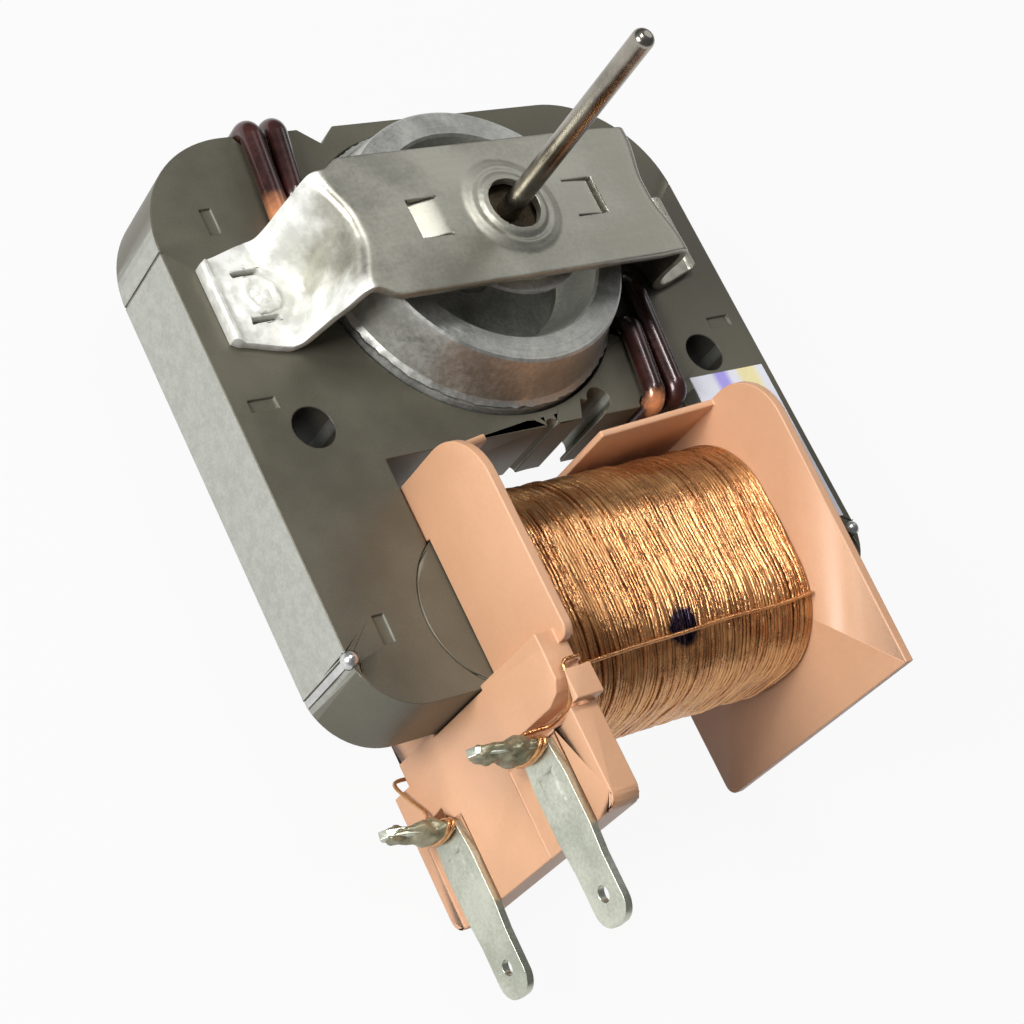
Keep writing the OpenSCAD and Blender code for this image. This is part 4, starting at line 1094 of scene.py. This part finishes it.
def makeBracket(name, rear):
    s = bracketSettings
    bm = bmesh.new()
    skins = [[], []]
    for j in range(s["across"] + 1):
        v = -1 + 2 * j / s["across"]
        full = bracketRow(v, 1)
        full += [tuple((-x, y, z) for x, y, z in pair) for pair in reversed(bracketRow(v, -1)[:-1])]
        for k in (0, 1):
            skins[k].append([bm.verts.new(place(Vector(pair[k]), rear)) for pair in full])
    across = s["across"]
    count = len(skins[0][0])
    for j in range(across):
        for i in range(count - 1):
            for skin in skins:
                bm.faces.new((skin[j][i], skin[j + 1][i], skin[j + 1][i + 1], skin[j][i + 1]))
    upper, lower = skins
    for j in (0, across):
        for i in range(count - 1):
            bm.faces.new((upper[j][i], upper[j][i + 1], lower[j][i + 1], lower[j][i]))
    for i in (0, count - 1):
        for j in range(across):
            bm.faces.new((upper[j][i], upper[j + 1][i], lower[j + 1][i], lower[j][i]))
    bmesh.ops.recalc_face_normals(bm, faces=bm.faces)
    piece = newPiece(name, bm, bracketMaterial)
    cutters = bmesh.new()
    addCutter(cutters, "round", (0, 0, s["top"]), (s["holeRadius"], 6), rear)
    for side in (-1, 1):
        root, length, gap, drop = s["tabs"][side]
        x0 = side * (root + length / 2 + 0.12)
        for w in (-1, 1):
            addCutter(cutters, "box", (x0, w * (s["tabHalf"] + 0.05), s["top"]), (length + 0.2, 0.12, 4), rear)
        slit = (side * (root + length + gap / 2), 0, s["top"])
        addCutter(cutters, "box", slit, (gap, 2 * s["tabHalf"] + 0.2, 4), rear)
        addCutter(cutters, "round", (side * s["rivetX"], 0, 1), (1.55, 5), rear)
        for w in (-1, 1):
            place3 = (side * (s["rivetX"] + 0.5), w * s["slotY"], 1)
            addCutter(cutters, "box", place3, (s["slot"][0], s["slot"][1], 5), rear)
    cutMesh = bpy.data.meshes.new("cutter")
    cutters.to_mesh(cutMesh)
    cutters.free()
    cutter = bpy.data.objects.new("cutter", cutMesh)
    bpy.context.scene.collection.objects.link(cutter)
    cut = piece.modifiers.new("cut", "BOOLEAN")
    cut.object = cutter
    cut.operation = "DIFFERENCE"
    cut.solver = "EXACT"
    cut.use_self = True
    soft = piece.modifiers.new("edges", "BEVEL")
    soft.width = 0.1 * mm
    soft.segments = 2
    soft.limit_method = "ANGLE"
    soft.angle_limit = math.radians(50)
    soft.use_clamp_overlap = False
    bake(piece)
    bpy.data.objects.remove(cutter)
    for v in piece.data.vertices:
        local = unplace(v.co, rear)
        root, length, gap, drop = s["tabs"][-1 if local.x < 0 else 1]
        reach = (abs(local.x) - root) / length
        if 0 < reach < 1.02 and abs(local.y) < s["tabHalf"] + 0.01 and local.z > s["top"] - 2.5:
            local.z -= drop * reach ** 1.3
            v.co = place(local, rear)
    piece.data.set_sharp_from_angle(angle=math.radians(38))
    return piece


def place(co, rear):
    z = -stackThick - co.z if rear else co.z
    return Vector((co.x, co.y + shaftRise, z)) * mm


def unplace(co, rear):
    z = -stackThick - co.z / mm if rear else co.z / mm
    return Vector((co.x / mm, co.y / mm - shaftRise, z))


def addCutter(bm, kind, centre, size, rear):
    if kind == "round":
        made = bmesh.ops.create_cone(
            bm, cap_ends=True, segments=64, radius1=size[0], radius2=size[0], depth=size[1] * 2)["verts"]
        scale = (1, 1, 1)
    else:
        made = bmesh.ops.create_cube(bm, size=1.0)["verts"]
        scale = size
    for v in made:
        local = Vector([v.co[i] * scale[i] + centre[i] for i in range(3)])
        v.co = place(local, rear)
    if rear:
        bmesh.ops.reverse_faces(bm, faces=list({f for v in made for f in v.link_faces}))


def bake(piece):
    # turns the modifiers into plain mesh
    bpy.context.view_layer.update()
    graph = bpy.context.evaluated_depsgraph_get()
    mesh = bpy.data.meshes.new_from_object(piece.evaluated_get(graph))
    piece.modifiers.clear()
    piece.data = mesh
    for face in mesh.polygons:
        face.use_smooth = True


for nodeName, pieceName, rear in (("front_bracket", "frontPressedBridge", False), ("rear_bracket", "rearPressedBridge", True)):
    bridge = makeBracket(pieceName, rear)
    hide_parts(nodeName)
    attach(bridge, "stator")
print("brackets done")


# rivets, bearings and shaft

rivetSettings = {
    "x": 24.1,
    "shank": 1.5,
    "head": [(2.05, 1.02), (2.0, 1.3), (1.75, 1.5), (1.35, 1.42), (1.05, 1.2), (0.8, 1.34), (0.45, 1.42), (0.12, 1.3)],
    "lobes": 5,
}


def makeRivets():
    # shanks through the stack, with heads staked into a rough star
    s = rivetSettings
    bm = bmesh.new()
    steps = 60
    for side in (-1, 1):
        rings = []
        heights = [(r, z, 1) for r, z in reversed(s["head"])] + [(s["shank"], 0.9, 0), (s["shank"], -stackThick - 0.9, 0)]
        heights += [(r, -stackThick - z, 1) for r, z in s["head"]]
        for r, z, headed in heights:
            ring = []
            for k in range(steps):
                angle = 2 * pi * k / steps
                star = 0.12 * math.sin(s["lobes"] * angle + side) + 0.3 * noise.noise(
                    Vector((2 * math.cos(angle), 2 * math.sin(angle), side * 4 + z)))
                reach = r * (1 + headed * star * 0.6)
                rise = headed * 0.22 * star * (1 if z > 0 else -1)
                ring.append(bm.verts.new(Vector((
                    side * s["x"] + reach * math.cos(angle), shaftRise + reach * math.sin(angle), z + rise)) * mm))
            rings.append(ring)
        for a, b in zip(rings, rings[1:]):
            for k in range(steps):
                m = (k + 1) % steps
                bm.faces.new((a[k], a[m], b[m], b[k]))
        bm.faces.new(list(reversed(rings[0])))
        bm.faces.new(rings[-1])
    bmesh.ops.recalc_face_normals(bm, faces=bm.faces)
    return newPiece("stakedRivets", bm, bracketMaterial, 60)


rivetPiece = makeRivets()
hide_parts("bracket_rivets")
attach(rivetPiece, "stator")
paint("front_bush", bronzeMaterial)
paint("rear_bush", bronzeMaterial)
paint("front_felt", feltMaterial)
paint("rear_felt", feltMaterial)
paint("front_retainer", springMaterial)
paint("rear_retainer", springMaterial)
paint("shaft", steelMaterial)
paint("rotor_core", rotorMaterial)
paint("front_spacer", steelMaterial)
paint("rear_spacer", steelMaterial)
paint("front_thrust_washer", washerMaterial)
paint("rear_thrust_washer", washerMaterial)
paint("rating_label", labelMaterial)


# rotor cage, cast with a ragged flash line at its root

cageSettings = {
    "rimZ": 6.4,
    "rootZ": 0.4,
    "profile": [
        (9.8, 0.0), (16.0, 0.0), (16.3, 0.12), (16.36, 0.38), (16.08, 0.6), (15.86, 0.85), (15.5, 2.1), (15.1, 3.8),
        (14.72, 5.5), (14.62, 5.78), (14.38, 6.0), (13.2, 6.01), (11.95, 6.0), (11.7, 5.75), (11.25, 4.3),
        (10.3, 1.6), (9.85, 0.9),
    ],
    "flashPoints": (2, 3),
    "flash": 0.24,
    "steps": 300,
}


def makeCage():
    s = cageSettings
    bm = bmesh.new()
    profile = [(r, z + s["rootZ"]) for r, z in s["profile"]]
    for side in (1, -1):
        def shake(i, r, z, angle):
            spot = Vector((math.cos(angle) * 4, math.sin(angle) * 4, side * 3.0))
            fine = noise.noise(spot * 4.3)
            wide = noise.noise(spot * 1.1)
            if i in s["flashPoints"]:
                return min(0.16, s["flash"] * (fine + 0.5 * noise.noise(spot * 11))), 0.14 * wide
            if i in (1, 4):
                return 0.06 * fine, 0.05 * wide
            return 0.02 * wide, 0.015 * wide if 0 < i < len(profile) - 1 else 0.0

        made = bmesh.new()
        lathe(made, profile, s["steps"], (0, shaftRise, 0), shake)
        if side < 0:
            for v in made.verts:
                v.co.z = -stackThick * mm - v.co.z
            bmesh.ops.reverse_faces(made, faces=made.faces)
        bmesh.ops.recalc_face_normals(made, faces=made.faces)
        part = bpy.data.meshes.new("cagePart")
        made.to_mesh(part)
        made.free()
        bm.from_mesh(part)
        bpy.data.meshes.remove(part)
    return newPiece("castCage", bm, castMaterial, 22)


cagePiece = makeCage()
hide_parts("rotor_cage")
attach(cagePiece, "rotor")
print("rotor done")


# floor, world and lamps

roomSettings = {
    "floorZ": -21.3,
    "floorSize": 6.0,
    "floorColour": (0.45, 0.45, 0.45),
    "whiteShare": 0.93,
    "worldLight": 0.15,
    "lamps": [
        {"name": "leftBox", "place": (-430, 30, 240), "aim": (0, 0, 0), "size": (220, 220), "power": 2.7},
        {"name": "overheadStrip", "place": (-60, 150, 430), "aim": (0, -5, 0), "size": (200, 56), "power": 0.8},
        {"name": "rightBox", "place": (420, 240, 330), "aim": (0, -5, 0), "size": (200, 200), "power": 0.17},
    ],
}


def makeFloor():
    size = roomSettings["floorSize"]
    bm = bmesh.new()
    corners = [
        bm.verts.new(Vector((x * size / 2, y * size / 2, roomSettings["floorZ"] * mm)))
        for x, y in ((-1, -1), (1, -1), (1, 1), (-1, 1))
    ]
    bm.faces.new(corners)
    bmesh.ops.subdivide_edges(bm, edges=bm.edges, cuts=3, use_grid_fill=True)
    mat = bpy.data.materials.new("paleFloor")
    mat.use_nodes = True
    tree = mat.node_tree
    tree.nodes.remove(tree.nodes["Principled BSDF"])
    leave = tree.nodes["Material Output"]
    matt = addNode(tree, "ShaderNodeBsdfDiffuse", (-2, 0), {"Color": (*roomSettings["floorColour"], 1)})
    white = addNode(tree, "ShaderNodeEmission", (-2, 1), {"Color": (1, 1, 1, 1), "Strength": 1.0})
    path = addNode(tree, "ShaderNodeLightPath", (-5, 0))
    either = addNode(tree, "ShaderNodeMath", (-4, 0), operation="MAXIMUM")
    share = addNode(tree, "ShaderNodeMath", (-3, 0), {1: roomSettings["whiteShare"]}, operation="MULTIPLY")
    mix = addNode(tree, "ShaderNodeMixShader", (-1, 0))
    join(tree, path.outputs["Is Camera Ray"], either.inputs[0])
    join(tree, path.outputs["Is Glossy Ray"], either.inputs[1])
    join(tree, either.outputs["Value"], share.inputs[0])
    join(tree, share.outputs["Value"], mix.inputs["Fac"])
    join(tree, matt.outputs["BSDF"], mix.inputs[1])
    join(tree, white.outputs["Emission"], mix.inputs[2])
    join(tree, mix.outputs["Shader"], leave.inputs["Surface"])
    floor = newPiece("paleFloor", bm, mat)


def makeWorld():
    world = bpy.data.worlds.new("room")
    world.use_nodes = True
    bpy.context.scene.world = world
    tree = world.node_tree
    sky = tree.nodes["Background"]
    leave = tree.nodes["World Output"]
    sky.inputs["Color"].default_value = (0.93, 0.96, 1, 1)
    sky.inputs["Strength"].default_value = roomSettings["worldLight"]
    plain = addNode(tree, "ShaderNodeBackground", (0, 2), {"Color": (1, 1, 1, 1), "Strength": 1.0})
    path = addNode(tree, "ShaderNodeLightPath", (-2, 0))
    mix = addNode(tree, "ShaderNodeMixShader", (2, 0))
    join(tree, path.outputs["Is Camera Ray"], mix.inputs["Fac"])
    join(tree, sky.outputs["Background"], mix.inputs[1])
    join(tree, plain.outputs["Background"], mix.inputs[2])
    join(tree, mix.outputs["Shader"], leave.inputs["Surface"])


def makeLamps():
    for lamp in roomSettings["lamps"]:
        data = bpy.data.lights.new(lamp["name"], "AREA")
        data.shape = "RECTANGLE"
        data.size = lamp["size"][0] * mm
        data.size_y = lamp["size"][1] * mm
        data.energy = lamp["power"]
        lampObject = bpy.data.objects.new(lamp["name"], data)
        lampObject.location = Vector(lamp["place"]) * mm
        heading = (Vector(lamp["aim"]) - Vector(lamp["place"])).normalized()
        lampObject.rotation_euler = heading.to_track_quat("-Z", "Y").to_euler()
        bpy.context.scene.collection.objects.link(lampObject)


makeFloor()
makeWorld()
makeLamps()
bpy.context.scene.view_settings.view_transform = "Standard"
print("room done")
